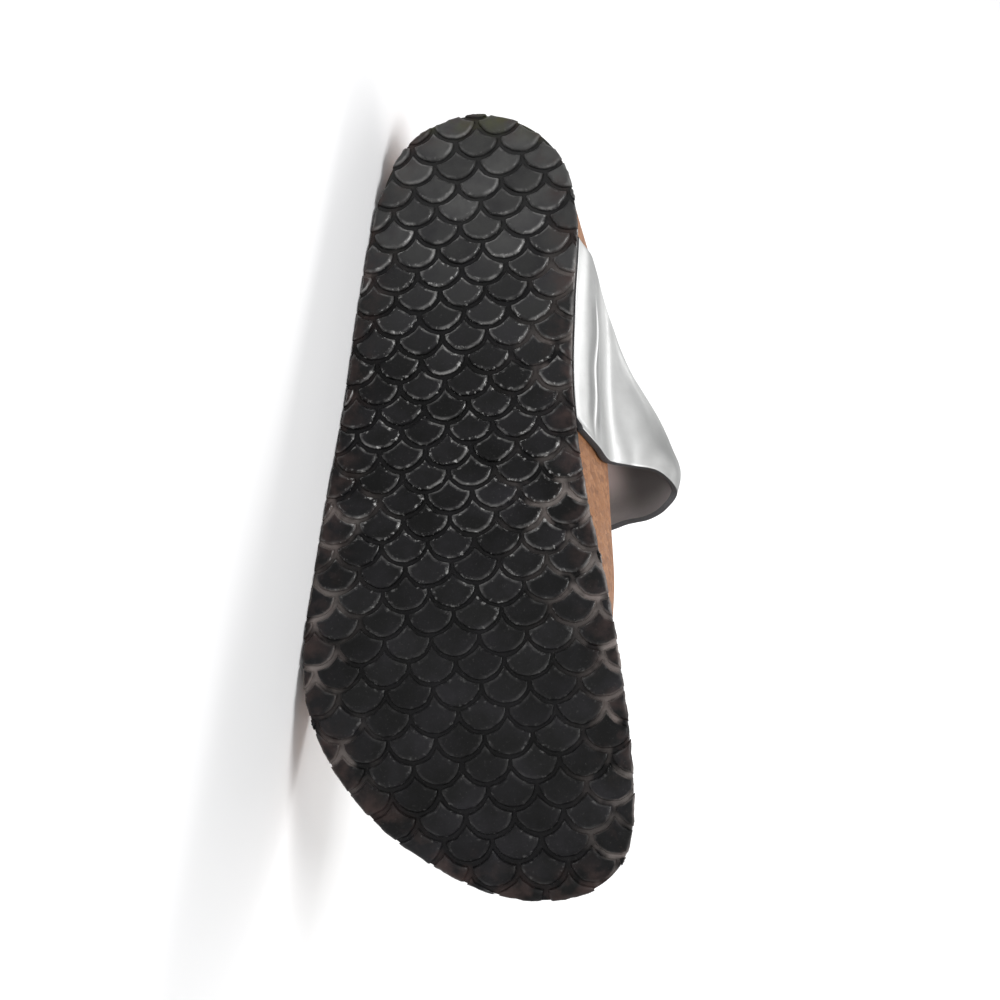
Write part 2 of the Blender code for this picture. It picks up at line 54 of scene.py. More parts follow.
# %% [markdown]
# A shoemaker thinks along the foot, across it and up from the ground, in millimetres. This sandal
# lies on its side, so across the foot is up in the scene. One small helper turns a maker's place
# into a point of the scene, and every piece below uses it.

# %% The shoe's own directions
MM = 0.001
HEEL_END_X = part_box("outsole")[0].x
GROUND_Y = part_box("outsole")[0].y


def shoe_points(along, across, up):
    """Scene points, one row each, for places given along, across and up in millimetres."""
    along, across, up = np.broadcast_arrays(along, across, up)
    return np.stack([HEEL_END_X + along * MM, GROUND_Y + up * MM, across * MM], axis=-1)


def shoe_point(along, across, up):
    return Vector(shoe_points(along, across, up))


print("heel end at x", round(HEEL_END_X, 4), "and ground plane at y", round(GROUND_Y, 4))

# %% [markdown]
# The camera stands where the photographer's stood in relation to the shoe, below the sole and a
# little towards the toe. It is rolled so that the heel is at the top of the picture, which turns the
# scene's up direction to the right of the picture. A longer lens frames the one shoe.

# %% Camera
CAMERA_PLACE = (226.5, 130.2, -395.4)
CAMERA_AIM = (130.5, 53.0, 22.0)
PICTURE_RIGHT = Vector((-0.105, 0.050, 0.993))
CAMERA_LENS = 47.0
CAMERA_NEAR = 0.01


def camera_turn(eye, aim, right_hint):
    """The camera's rotation, with the picture's right as near the hint as the aim allows."""
    ahead = (aim - eye).normalized()
    right = (right_hint - ahead * right_hint.dot(ahead)).normalized()
    above = right.cross(ahead)
    return Matrix((right, above, -ahead)).transposed()


camera_data = bpy.data.cameras.new("camera")
camera_data.lens = CAMERA_LENS
camera_data.clip_start = CAMERA_NEAR
camera = bpy.data.objects.new("camera", camera_data)
bpy.context.scene.collection.objects.link(camera)
camera_eye = shoe_point(*CAMERA_PLACE)
turn = camera_turn(camera_eye, shoe_point(*CAMERA_AIM), PICTURE_RIGHT)
camera.matrix_world = Matrix.Translation(camera_eye) @ turn.to_4x4()
bpy.context.scene.camera = camera
print("camera height over the floor:", round(camera_eye.z, 3), "m")

# %% [markdown]
# All the soles and linings share one outline. A shoemaker would draw it from a few stations between
# heel and toe, so a short table holds those stations, and a smooth curve runs through them. The
# stations crowd at the round ends because the curve is drawn over a half turn.

# %% Sole outline
SOLE_LENGTH = 255.5
SOLE_WIDTH = 110.0
BALL_ALONG = 190.0
OUTLINE = (
    # along, lateral, medial
    (0.0, 33.5, 33.5),
    (7.0, 14.0, 54.0),
    (17.0, 6.2, 63.2),
    (37.0, 1.0, 70.0),
    (65.0, 0.0, 72.2),
    (97.0, 0.3, 75.6),
    (127.0, 0.2, 83.0),
    (160.0, 0.0, 94.0),
    (187.0, 0.4, 101.6),
    (207.0, 4.6, 106.2),
    (227.0, 17.2, 109.0),
    (240.0, 32.0, 107.2),
    (250.0, 51.5, 98.5),
    (SOLE_LENGTH, 77.0, 77.0),
)


def curve_through(knots, values):
    """A function that follows a smooth curve through the rows of a table."""
    knots = np.asarray(knots, float)
    values = np.asarray(values, float).reshape(len(knots), -1)
    chords = np.diff(values, axis=0) / np.diff(knots)[:, None]
    slopes = np.vstack([chords[:1], (chords[:-1] + chords[1:]) / 2, chords[-1:]])

    def at(position):
        position = np.clip(np.atleast_1d(np.asarray(position, float)), knots[0], knots[-1])
        k = np.clip(np.searchsorted(knots, position, side="right") - 1, 0, len(knots) - 2)
        width = (knots[k + 1] - knots[k])[:, None]
        t = (position - knots[k])[:, None] / width
        start = (2 * t**3 - 3 * t**2 + 1) * values[k] + (t**3 - 2 * t**2 + t) * width * slopes[k]
        end = (3 * t**2 - 2 * t**3) * values[k + 1] + (t**3 - t**2) * width * slopes[k + 1]
        return start + end

    return at


def station_of(along):
    return np.arccos(1 - 2 * np.clip(np.asarray(along, float) / SOLE_LENGTH, 0, 1)) / np.pi


def along_of(station):
    return SOLE_LENGTH * (1 - np.cos(np.pi * np.asarray(station, float))) / 2


EDGE_CURVE = curve_through([station_of(row[0]) for row in OUTLINE], [row[1:] for row in OUTLINE])


def sole_edges(along):
    """Lateral and medial edge of the sole at each place along it."""
    edges = EDGE_CURVE(station_of(along))
    return np.maximum(edges[:, 0], 0.0), edges[:, 1]


ball_lateral, ball_medial = sole_edges(BALL_ALONG)
print("ball width:", round(float(ball_medial[0] - ball_lateral[0]), 1), "mm")

# %% [markdown]
# Seen from the side, the sole is flat under heel and ball, hollow under the arch and lifted at the
# toe. The outsole follows this line with its own thickness, and the cork sits on top of it.

# %% Side profile
HEEL_ROLL = 1.2
HEEL_FLAT_START = 14.0
ARCH_START = 76.0
ARCH_END = 142.0
ARCH_RISE = 2.0
TOE_SPRING_START = 192.0
TOE_SPRING = 10.0
TOE_SPRING_POWER = 1.8
OUTSOLE_HEEL_THICKNESS = 8.0
OUTSOLE_TOE_THICKNESS = 6.0


def ground_rise(along):
    """Height of the outsole's underside over the ground."""
    along = np.asarray(along, float)
    heel = HEEL_ROLL * np.maximum(0, 1 - along / HEEL_FLAT_START) ** 2
    arch_share = np.clip((along - ARCH_START) / (ARCH_END - ARCH_START), 0, 1)
    arch = ARCH_RISE * np.sin(np.pi * arch_share) ** 2
    spring_share = np.maximum(0, (along - TOE_SPRING_START) / (SOLE_LENGTH - TOE_SPRING_START))
    return heel + arch + TOE_SPRING * spring_share**TOE_SPRING_POWER


def outsole_top(along):
    share = np.asarray(along, float) / SOLE_LENGTH
    taper = OUTSOLE_TOE_THICKNESS - OUTSOLE_HEEL_THICKNESS
    return ground_rise(along) + OUTSOLE_HEEL_THICKNESS + taper * share


print("toe spring:", round(float(ground_rise(SOLE_LENGTH)), 1), "mm")

# %% [markdown]
# Finishes are built from shader nodes, and the same few steps come back in each: a noise, a ramp of
# colours, a mix by a mask, and a bump. A small kit of helpers keeps each finish short enough to read.
# Patterns read Object coordinates, so they stay on the piece and keep their real scale in metres.
# Where a finish has to follow the shape, it reads an attribute that the mesh carries.

# %% A small kit for finishes


class Finish:
    """A material with a Principled shader and short ways to add the usual nodes."""

    def __init__(self, name):
        self.material = bpy.data.materials.new(name)
        self.material.use_nodes = True
        self.tree = self.material.node_tree
        self.shader = self.tree.nodes["Principled BSDF"]
        self.place = self.tree.nodes.new("ShaderNodeTexCoord").outputs["Object"]

    def join(self, source, target):
        """Sets a socket to a number or a colour, or links it to another node's output."""
        if isinstance(source, (int, float)):
            target.default_value = source
        elif isinstance(source, tuple):
            target.default_value = (*source, 1.0)
        else:
            self.tree.links.new(source, target)

    def node(self, kind, sockets=None, **settings):
        """A new node with its settings made and its input sockets joined."""
        made = self.tree.nodes.new(kind)
        for key, value in settings.items():
            setattr(made, key, value)
        for key, source in (sockets or {}).items():
            self.join(source, made.inputs[key])
        return made

    def stretched(self, scale):
        mapping = self.node("ShaderNodeMapping", {"Vector": self.place})
        mapping.inputs["Scale"].default_value = scale
        return mapping.outputs["Vector"]

    def noise(self, size_mm, detail=4.0, rough=0.55, place=None, seed=0.0):
        sockets = {
            "Vector": place or self.place,
            "W": seed,
            "Scale": 1 / (size_mm * MM),
            "Detail": detail,
            "Roughness": rough,
        }
        return self.node("ShaderNodeTexNoise", sockets, noise_dimensions="4D").outputs["Fac"]

    def cells(self, size_mm, feature="F1"):
        sockets = {"Vector": self.place, "Scale": 1 / (size_mm * MM)}
        return self.node("ShaderNodeTexVoronoi", sockets, feature=feature)

    def ramp(self, value, *stops):
        made = self.node("ShaderNodeValToRGB", {"Fac": value})
        points = made.color_ramp.elements
        while len(points) < len(stops):
            points.new(0.5)
        for point, (position, colour) in zip(points, stops):
            point.position = position
            grey = isinstance(colour, (int, float))
            point.color = (colour, colour, colour, 1.0) if grey else (*colour, 1.0)
        return made.outputs["Color"]

    def mix(self, share, first, second, blend="MIX"):
        made = self.node("ShaderNodeMix", data_type="RGBA", blend_type=blend)
        sockets = [socket for socket in made.inputs if socket.enabled]
        for source, target in zip((share, first, second), sockets):
            self.join(source, target)
        return next(socket for socket in made.outputs if socket.enabled)

    def maths(self, kind, first, second):
        return self.node("ShaderNodeMath", {0: first, 1: second}, operation=kind).outputs[0]

    def product(self, share, *others):
        for other in others:
            share = self.maths("MULTIPLY", share, other)
        return share

    def attribute(self, name):
        return self.node("ShaderNodeAttribute", attribute_name=name).outputs["Fac"]

    def axis(self, name):
        return self.node("ShaderNodeSeparateXYZ", {0: self.place}).outputs[name]

    def spread(self, value, low, high, to_low=0.0, to_high=1.0):
        sockets = {
            "Value": value,
            "From Min": low,
            "From Max": high,
            "To Min": to_low,
            "To Max": to_high,
        }
        return self.node("ShaderNodeMapRange", sockets).outputs["Result"]

    def bump(self, height, depth_mm, strength, below=None):
        sockets = {"Strength": strength, "Distance": depth_mm * MM, "Height": height}
        if below is not None:
            sockets["Normal"] = below
        return self.node("ShaderNodeBump", sockets).outputs["Normal"]

    def set(self, **sockets):
        """Joins the shader's own sockets, with _ for a space, and returns the material."""
        for key, source in sockets.items():
            self.join(source, self.shader.inputs[key.replace("_", " ")])
        return self.material


print("finish kit ready")

# %% [markdown]
# The outsole is dark foamed rubber that has walked: greyer at the heel, nearly black and a little
# shiny at the waist where it never touches the ground. The grooves carry painted shade, the lips are
# lighter, partly chafed and partly a painted highlight, and painted glints sit on them at the waist.
# Dust is packed into the grooves near the rim, and brown scuffs run along the edge. The mesh carries
# four attributes for this, groove, edge, dust and tone, so that these marks follow the real shape.

# %% Rubber finish


def rubber_finish():
    rubber = Finish("worn_rubber")
    groove = rubber.attribute("groove")
    edge = rubber.attribute("edge")
    along = rubber.spread(rubber.axis("X"), HEEL_END_X, HEEL_END_X + SOLE_LENGTH * MM)
    lip = rubber.ramp(groove, (0.03, 0.0), (0.14, 1.0), (0.40, 1.0), (0.70, 0.0))
    waist = rubber.ramp(along, (0.10, 0.2), (0.22, 1.0), (0.56, 1.0), (0.70, 0.15))

    # The rubber from heel to toe, with painted shade in the grooves, and a little cloudy
    base = rubber.ramp(
        along,
        (0.00, (0.058, 0.058, 0.056)),
        (0.14, (0.054, 0.054, 0.053)),
        (0.24, (0.028, 0.028, 0.028)),
        (0.38, (0.006, 0.006, 0.006)),
        (0.55, (0.004, 0.004, 0.004)),
        (0.72, (0.007, 0.007, 0.007)),
        (1.00, (0.004, 0.004, 0.004)),
    )
    # Painted shade: groove floors and lower walls darkened, more strongly from the waist to the toe
    groove_shade_zone = rubber.ramp(along, (0.00, 0.30), (0.16, 0.42), (0.32, 0.80))
    groove_painted_shade = rubber.product(rubber.spread(groove, 0.45, 1.0), groove_shade_zone)
    base = rubber.mix(groove_painted_shade, base, (0.004, 0.004, 0.004))
    cloud = rubber.noise(13.0, detail=5.0, rough=0.6)
    base = rubber.mix(rubber.spread(cloud, 0.42, 0.72, 0.0, 0.7), base, (0.018, 0.017, 0.020))

    # Lips lightened, partly chafe and partly a painted highlight, and painted glints on them at the waist
    # Lighter lips: partly real chafing, partly a painted highlight along the groove edges
    chafe_and_highlight = rubber.spread(rubber.noise(6.0, seed=6.0), 0.46, 0.64)
    chafe_highlight_zone = rubber.ramp(along, (0.02, 0.5), (0.16, 1.0), (0.54, 0.90), (0.68, 0.22), (1.0, 0.12))
    base = rubber.mix(rubber.product(lip, chafe_and_highlight, chafe_highlight_zone), base, (0.170, 0.168, 0.165))
    # Painted glints: small pale flecks on the lips at the waist
    painted_glint = rubber.product(
        rubber.spread(rubber.noise(1.5, detail=2.0, rough=0.6, seed=15.0), 0.58, 0.66),
        rubber.spread(groove, 0.01, 0.12),
        rubber.spread(groove, 0.95, 0.60),
        rubber.spread(edge, 0.95, 0.60),
        waist,
    )
    base = rubber.mix(painted_glint, base, (0.300, 0.298, 0.292))

    # Each block's own tone, and fine pale specks
    tone = rubber.spread(rubber.attribute("tone"), 0.0, 1.0, 0.70, 1.30)
    base = rubber.mix(1.0, base, tone, blend="MULTIPLY")
    speck = rubber.noise(0.8, detail=3.0, rough=0.7, seed=3.0)
    base = rubber.mix(rubber.spread(speck, 0.60, 0.72, 0.0, 0.45), base, (0.060, 0.058, 0.057))

    # Scuffs along the edge, dust in the grooves and a green trace at the heel
    rubbed = rubber.spread(rubber.noise(8.0, detail=4.0, seed=7.0), 0.46, 0.64)
    scuff = rubber.product(rubbed, rubber.spread(edge, 0.15, 0.95), 0.7)
    base = rubber.mix(scuff, base, (0.052, 0.034, 0.031))
    dust_patch = rubber.spread(rubber.noise(9.0, detail=2.0, seed=11.0), 0.41, 0.55)
    dust = rubber.product(rubber.attribute("dust"), dust_patch, rubber.spread(groove, 0.10, 0.60))
    dust_tone = rubber.mix(rubber.noise(6.0, seed=5.0), (0.240, 0.188, 0.178), (0.190, 0.186, 0.172))
    base = rubber.mix(dust, base, dust_tone)
    moss_patch = rubber.spread(rubber.noise(8.0, seed=2.0), 0.42, 0.6)
    moss = rubber.product(rubber.spread(along, 0.045, 0.010), moss_patch, 0.7)
    base = rubber.mix(moss, base, (0.062, 0.066, 0.028))

    # Shine in patches at the waist, over dimples and a fine grain
    shine = rubber.noise(5.0, detail=5.0, rough=0.7, seed=9.0)
    gloss = rubber.product(waist, rubber.spread(shine, 0.46, 0.60), lip)
    normal = rubber.bump(rubber.noise(3.0, detail=2.0, rough=0.5, seed=12.0), 0.35, strength=0.45)
    grain = rubber.noise(0.55, detail=3.0, rough=0.65)
    return rubber.set(
        Base_Color=base,
        Roughness=rubber.spread(shine, 0.35, 0.65, 0.58, 0.40),
        Normal=rubber.bump(grain, 0.10, strength=0.5, below=normal),
        Specular_IOR_Level=0.14,
        Coat_Weight=gloss,
        Coat_Roughness=0.16,
    )


RUBBER = rubber_finish()
print("made finish:", RUBBER.name)

# %% [markdown]
# The tread is moulded: low rubber blocks with grooves between them. Here they are overlapping fish
# scales in staggered rows, an old and common pattern, at the scale of the real tread. One function
# tells how far inside its scale a point is, less half the groove, and the scale's outline is where
# this becomes zero.

# %% Scale pattern
SCALE_WIDTH = 15.0
SCALE_RADIUS = 7.75
SCALE_ROW_PITCH = 7.7
TREAD_TURN = math.radians(10.5)


def inside_scale(run, side, inset):
    """Millimetres from a place to the edge of the scale at the origin, shrunk by an inset."""
    front = SCALE_RADIUS - inset - np.hypot(run, side)
    beside = SCALE_WIDTH / 2 - inset - np.abs(side)
    behind = [
        np.hypot(run + SCALE_ROW_PITCH, side - shift) - SCALE_RADIUS - inset
        for shift in (-SCALE_WIDTH / 2, SCALE_WIDTH / 2)
    ]
    return np.minimum.reduce([front, beside, *behind])


def pattern_to_sole(run, side, row, column):
    """Places on the sole for places in the scale of one row and column."""
    x = run + row * SCALE_ROW_PITCH
    y = side + (column + 0.5 * (row % 2)) * SCALE_WIDTH
    along = x * math.cos(TREAD_TURN) - y * math.sin(TREAD_TURN)
    return along, x * math.sin(TREAD_TURN) + y * math.cos(TREAD_TURN)


print("scales across the sole:", round(SOLE_WIDTH / SCALE_WIDTH, 1))

# %% [markdown]
# A mould cuts the blocks off at the sole's edge, and wear is strongest there too, so the distance to
# the edge is needed in many places. Finding it for each point would be slow. It is measured once on a
# raster of half a millimetre, with the nearest point of the outline, and read between the raster's
# points after that.

# %% Distance to the edge
OUTLINE_SAMPLES = 900
RASTER_STEP = 0.5
RASTER_MARGIN = 12.0
RASTER_END = 1.001


def outline_raster():
    """Signed distance to the sole's edge on a raster, positive inside."""
    edge_along = along_of(np.linspace(0, 1, OUTLINE_SAMPLES))
    tree = KDTree(2 * OUTLINE_SAMPLES)
    for side, edge in enumerate(sole_edges(edge_along)):
        for k, (a, c) in enumerate(zip(edge_along, edge)):
            tree.insert((a, c, 0.0), OUTLINE_SAMPLES * side + k)
    tree.balance()
    along = np.arange(-RASTER_MARGIN, SOLE_LENGTH + RASTER_MARGIN, RASTER_STEP)
    across = np.arange(-RASTER_MARGIN, SOLE_WIDTH + RASTER_MARGIN, RASTER_STEP)
    lateral, medial = sole_edges(along)
    on_sole = (along > 0) & (along < SOLE_LENGTH)
    raster = np.empty((len(along), len(across)))
    for i, a in enumerate(along):
        within = on_sole[i] & (across > lateral[i]) & (across < medial[i])
        away = np.array([tree.find((a, c, 0.0))[2] for c in across])
        raster[i] = np.where(within, away, -away)
    return raster


OUTLINE_RASTER = outline_raster()


def raster_line(place, count):
    """A place as a position among the raster's lines, kept just inside the last one."""
    return np.clip((np.asarray(place) + RASTER_MARGIN) / RASTER_STEP, 0, count - RASTER_END)


def inside_sole(along, across):
    """Millimetres from a place to the sole's edge, read from the raster between its points."""
    row = raster_line(along, OUTLINE_RASTER.shape[0])
    column = raster_line(across, OUTLINE_RASTER.shape[1])
    i, j = row.astype(int), column.astype(int)
    u, v = row - i, column - j
    near = OUTLINE_RASTER[i, j] * (1 - v) + OUTLINE_RASTER[i, j + 1] * v
    far = OUTLINE_RASTER[i + 1, j] * (1 - v) + OUTLINE_RASTER[i + 1, j + 1] * v
    return near * (1 - u) + far * u


print("raster:", OUTLINE_RASTER.shape, "deepest inside:", round(float(OUTLINE_RASTER.max()), 1), "mm")

# %% [markdown]
# Soles, liners and straps are sheets and shells, and each can be laid out as rows of points. A grid
# from a bmesh operator gives the faces, and its points are then moved to their places. Where a shell
# closes on itself, the meeting points are merged and the open rims are filled, so no seam is left.

# %% Grids of points
SEAM_MERGE = 0.00001


def mesh_piece(name, bm, finishes):
    """A smooth-shaded object from a finished bmesh, in the scene and with its finishes."""
    mesh = bpy.data.meshes.new(name)
    bm.to_mesh(mesh)
    bm.free()
    mesh.shade_smooth()
    for finish in finishes:
        mesh.materials.append(finish)
    piece = bpy.data.objects.new(name, mesh)
    bpy.context.scene.collection.objects.link(piece)
    return piece


def add_attribute(piece, name, values):
    layer = piece.data.attributes.new(name, "FLOAT", "POINT")
    layer.data.foreach_set("value", np.asarray(values, np.float32))


def piece_places(piece):
    """The maker's places of a piece's points: along, across and up in millimetres."""
    spots = np.array([vert.co[:] for vert in piece.data.vertices]) / MM
    return spots[:, 0] - HEEL_END_X / MM, spots[:, 2], spots[:, 1] - GROUND_Y / MM


def grid_mesh(places, **marks):
    """A bmesh grid with its points moved to rows of places, and attributes for named marks."""
    rows, columns = places.shape[:2]
    spots = shoe_points(places[..., 0], places[..., 1], places[..., 2])
    bm = bmesh.new()
    bmesh.ops.create_grid(bm, x_segments=rows - 1, y_segments=columns - 1, size=0.5)
    layers = [(bm.verts.layers.float.new(name), values) for name, values in marks.items()]
    for vert in bm.verts:
        row = round((vert.co.x + 0.5) * (rows - 1))
        column = round((vert.co.y + 0.5) * (columns - 1))
        vert.co = spots[row, column]
        for layer, values in layers:
            vert[layer] = values[row, column]
    return bm


def closed_grid(places):
    """The same, with meeting ends merged, the open rims closed and the faces turned outwards."""
    bm = grid_mesh(places)
    bmesh.ops.remove_doubles(bm, verts=bm.verts, dist=SEAM_MERGE)
    rims = [edge for edge in bm.edges if edge.is_boundary]
    bmesh.ops.holes_fill(bm, edges=rims, sides=0)
    bmesh.ops.recalc_face_normals(bm, faces=bm.faces)
    return bm


print("grid helpers ready")

# %% [markdown]
# Every layer of the shoe runs round the same outline, a little inside or outside of it, and its faces
# run in from there to the middle line of the foot. Two helpers give the places beside the outline and
# on that line, and a third one strings them into a ring round the foot.

# %% Rings round the foot
LATERAL, MEDIAL = 0, 1
RING_STATIONS = 160
EDGE_STEP = 0.002
SPINE_HEEL_END = 36.0
SPINE_TOE_END = 212.0


def edge_points(along, side, distance):
    """Places beside the outline, moved outwards by a distance: along and across."""
    station = station_of(along)
    low = np.clip(station - EDGE_STEP, 0, 1)
    high = np.clip(station + EDGE_STEP, 0, 1)
    run = along_of(high) - along_of(low)
    rise = EDGE_CURVE(high)[:, side] - EDGE_CURVE(low)[:, side]
    size = np.hypot(run, rise)
    turn = -1 if side == LATERAL else 1
    across = sole_edges(along)[side]
    return along - turn * rise / size * distance, across + turn * run / size * distance


def spine_points(along):
    """Places on the middle line of the foot, which ends short of heel and toe."""
    spine_along = np.clip(along, SPINE_HEEL_END, SPINE_TOE_END)
    return spine_along, sum(sole_edges(spine_along)) / 2


def round_the_foot(ring):
    """One closed ring of places: up the lateral side, round the toe and back to the heel."""
    shares = np.linspace(0, 1, RING_STATIONS + 1)
    there = np.stack(ring(along_of(shares), LATERAL), axis=-1)
    back = np.stack(ring(along_of(shares[::-1]), MEDIAL), axis=-1)
    return np.concatenate([there, back[1:]])


print("points in a ring:", 2 * RING_STATIONS + 1)

# %% [markdown]
# A worn sole tells where the foot pressed. Grooves are deep at the heel and the rim and worn shallow
# under the ball, and pale dust stays packed in them at the rim. Depth and dust come from a few named
# spots and ranges, and the marks go on the mesh as attributes, where the rubber finish reads them.

# %% Wear of the sole
GROOVE_DEPTH = 1.35
HEEL_GROOVE = 0.45
HEEL_GROOVE_RANGE = (105.0, 40.0)
WALKED_OFF = 0.65
WALKED_ALONG = 192.0
WALKED_REACH = 46.0
WALKED_RIM = (3.0, 26.0)
EDGE_REACH = 14.0
DUST_SPOTS = (
    # along, across, reach, strength: where pale dust has packed into the grooves
    (134.0, 81.0, 15.0, 1.0),
    (158.0, 92.0, 13.0, 1.0),
    (178.0, 99.0, 9.0, 1.0),
    (198.0, 104.0, 9.0, 1.0),
    (218.0, 108.0, 10.0, 1.0),
    (240.0, 104.0, 9.0, 0.8),
    (176.0, 1.0, 10.0, 1.0),
    (196.0, 4.0, 10.0, 0.9),
    (222.0, 18.0, 9.0, 0.7),
    (148.0, 2.0, 12.0, 0.8),
    (84.0, 71.0, 12.0, 0.6),
    (58.0, 68.0, 9.0, 0.4),
    (60.0, 3.0, 8.0, 0.3),
)


def smooth_step(value, low=0.0, high=1.0):
    """0 at low and 1 at high, with a soft start and end."""
    t = np.clip((np.asarray(value, float) - low) / (high - low), 0, 1)
    return t * t * (3 - 2 * t)


def hump(value, centre, reach):
    """1 at the centre, falling off smoothly on both sides."""
    return np.exp(-(((value - centre) / reach) ** 2))


def groove_depth(along, across):
    """Depth of the grooves in millimetres: deep at the heel and the rim, worn at the ball."""
    heel = smooth_step(along, *HEEL_GROOVE_RANGE)
    walked = hump(along, WALKED_ALONG, WALKED_REACH)
    walked = walked * smooth_step(inside_sole(along, across), *WALKED_RIM)
    return GROOVE_DEPTH + HEEL_GROOVE * heel - WALKED_OFF * walked


def spot_mark(along, across, spots):
    """A mark that is strongest at each spot of a table and fades over its reach."""
    mark = np.zeros(len(along))
    for spot_along, spot_across, reach, strength in spots:
        away = np.hypot(along - spot_along, across - spot_across) / reach
        mark = np.maximum(mark, strength * np.exp(-(away**2)))
    return mark


def add_wear_marks(piece):
    """Attributes for the rubber: nearness to the sole's edge and packed dust."""
    along, across, _ = piece_places(piece)
    add_attribute(piece, "edge", smooth_step(inside_sole(along, across), EDGE_REACH, 0.0))
    add_attribute(piece, "dust", spot_mark(along, across, DUST_SPOTS))


ball_centre = float(ball_lateral[0] + ball_medial[0]) / 2
print("groove depth at the ball:", round(float(groove_depth(BALL_ALONG, ball_centre)), 2), "mm")

# %% [markdown]
# The base plate is the sheet that carries the blocks. Its underside lies at the bottom of the
# grooves, and its side wall stands a little inside the blocks, so their ends show as small bumps
# along the edge. Rings from the middle line out to the edge and up the wall make it in one grid.

# %% Outsole base plate
BASE_INSET = 0.4
BASE_SHARES = (0.0, 0.02, 0.3, 0.6, 0.9, 1.0)
BASE_WEIGHTS = (1.0, 0.8, 0.6, 0.42, 0.28, 0.18, 0.11, 0.06, 0.02)
BASE_UNDER_RANGE = (0.6, 0.1)
WALL_MARK = 0.18
UNDER_MARK = 0.82


def dress(piece, node):
    """Puts a piece in the place of a frame node and lets it ride on the shoe."""
    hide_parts(node)
    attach(piece, "root")
    print(piece.name, "faces:", len(piece.data.polygons))


def base_ring(share, weight=0.0):
    """A ring of the base plate: at a share of its side wall, or under it on the way to the middle."""

    def ring(along, side):
        edge_along, edge_across = edge_points(along, side, -BASE_INSET)
        spine_along, spine_across = spine_points(along)
        spot_along = edge_along + (spine_along - edge_along) * weight
        spot_across = edge_across + (spine_across - edge_across) * weight
        low = ground_rise(spot_along) + groove_depth(spot_along, spot_across)
        return spot_along, spot_across, low + (outsole_top(spot_along) - low) * share

    return round_the_foot(ring)


def make_base_plate():
    rings = [base_ring(0.0, weight) for weight in BASE_WEIGHTS]
    rings += [base_ring(share) for share in BASE_SHARES]
    piece = mesh_piece("outsole_base", closed_grid(np.array(rings)), [RUBBER])
    along, across, up = piece_places(piece)
    over_groove = up - ground_rise(along) - groove_depth(along, across)
    below = smooth_step(over_groove, *BASE_UNDER_RANGE)
    add_attribute(piece, "groove", WALL_MARK + UNDER_MARK * below)
    add_wear_marks(piece)
    return piece


base_plate = make_base_plate()
dress(base_plate, "outsole")

# %% [markdown]
# A block fills its scale, or what the sole's edge leaves of it. From the place deepest inside, rays
# are followed outwards until they meet the block's outline, by halving the way again and again. The
# rays crowd where the outline bends, so the corners of a scale stay sharp with few points.

# %% Block outline
BLOCK_SIDES = 28
BLOCK_FOOT_INSET = 0.55
BLOCK_LIP_INSET = 0.9
BLOCK_MAX_REACH = 12.0
REACH_HALVINGS = 16
FINE_RAYS = 180
HEART_RUNS = np.linspace(-6, 8, 57)
HEART_SIDES = np.linspace(-SCALE_WIDTH / 2, SCALE_WIDTH / 2, 61)


def inside_block(run, side, row, column, inset):
    on_sole = inside_sole(*pattern_to_sole(run, side, row, column))
    return np.minimum(inside_scale(run, side, inset), on_sole - inset + BLOCK_FOOT_INSET)


def block_heart(row, column):
    """The place deepest inside a block, and how deep it is."""
    run, side = np.meshgrid(HEART_RUNS, HEART_SIDES)
    depth = inside_block(run, side, row, column, 0.0)
    best = np.unravel_index(np.argmax(depth), depth.shape)
    return run[best], side[best], depth[best]


def block_ring(heart, row, column, inset, turn):
    """Places round a block where its outline, shrunk by the inset, cuts rays from its heart."""
    low, high = np.zeros(len(turn)), np.full(len(turn), BLOCK_MAX_REACH)
    for _ in range(REACH_HALVINGS):
        reach = (low + high) / 2
        run, side = heart[0] + reach * np.cos(turn), heart[1] + reach * np.sin(turn)
        inside = inside_block(run, side, row, column, inset) > 0
        low, high = np.where(inside, reach, low), np.where(inside, high, reach)
    return pattern_to_sole(heart[0] + low * np.cos(turn), heart[1] + low * np.sin(turn), row, column)


def block_rays(heart, row, column):
    """Turns of a few rays from a block's heart, closer together where its outline bends."""
    fine = np.linspace(0, 2 * np.pi, FINE_RAYS + 1)
    along, across = block_ring(heart, row, column, BLOCK_LIP_INSET, fine)
    length = np.hypot(np.diff(along), np.diff(across))
    heading = np.unwrap(np.arctan2(np.diff(across), np.diff(along)))
    bend = np.abs(np.diff(heading, prepend=heading[-1] - 2 * np.pi))
    measure = np.cumsum(length / length.sum() + bend / bend.sum())
    measure = np.concatenate([[0.0], measure])
    return np.interp(np.linspace(0, measure[-1], BLOCK_SIDES, endpoint=False), measure, fine)


print("rays to a block:", BLOCK_SIDES, "exact to", BLOCK_MAX_REACH / 2**REACH_HALVINGS, "mm")

# %% [markdown]
# Each block starts as a closed circle whose points are pushed out to its outline. Rings with growing
# inset are extruded from it towards the ground: a drafted side, a rounded lip and a flat top, as a
# mould leaves them. Blocks in the walked-on part are lower and rounder than the ones at the heel and
# the rim, and each is a little ragged and uneven, because foamed rubber never leaves its mould exactly.

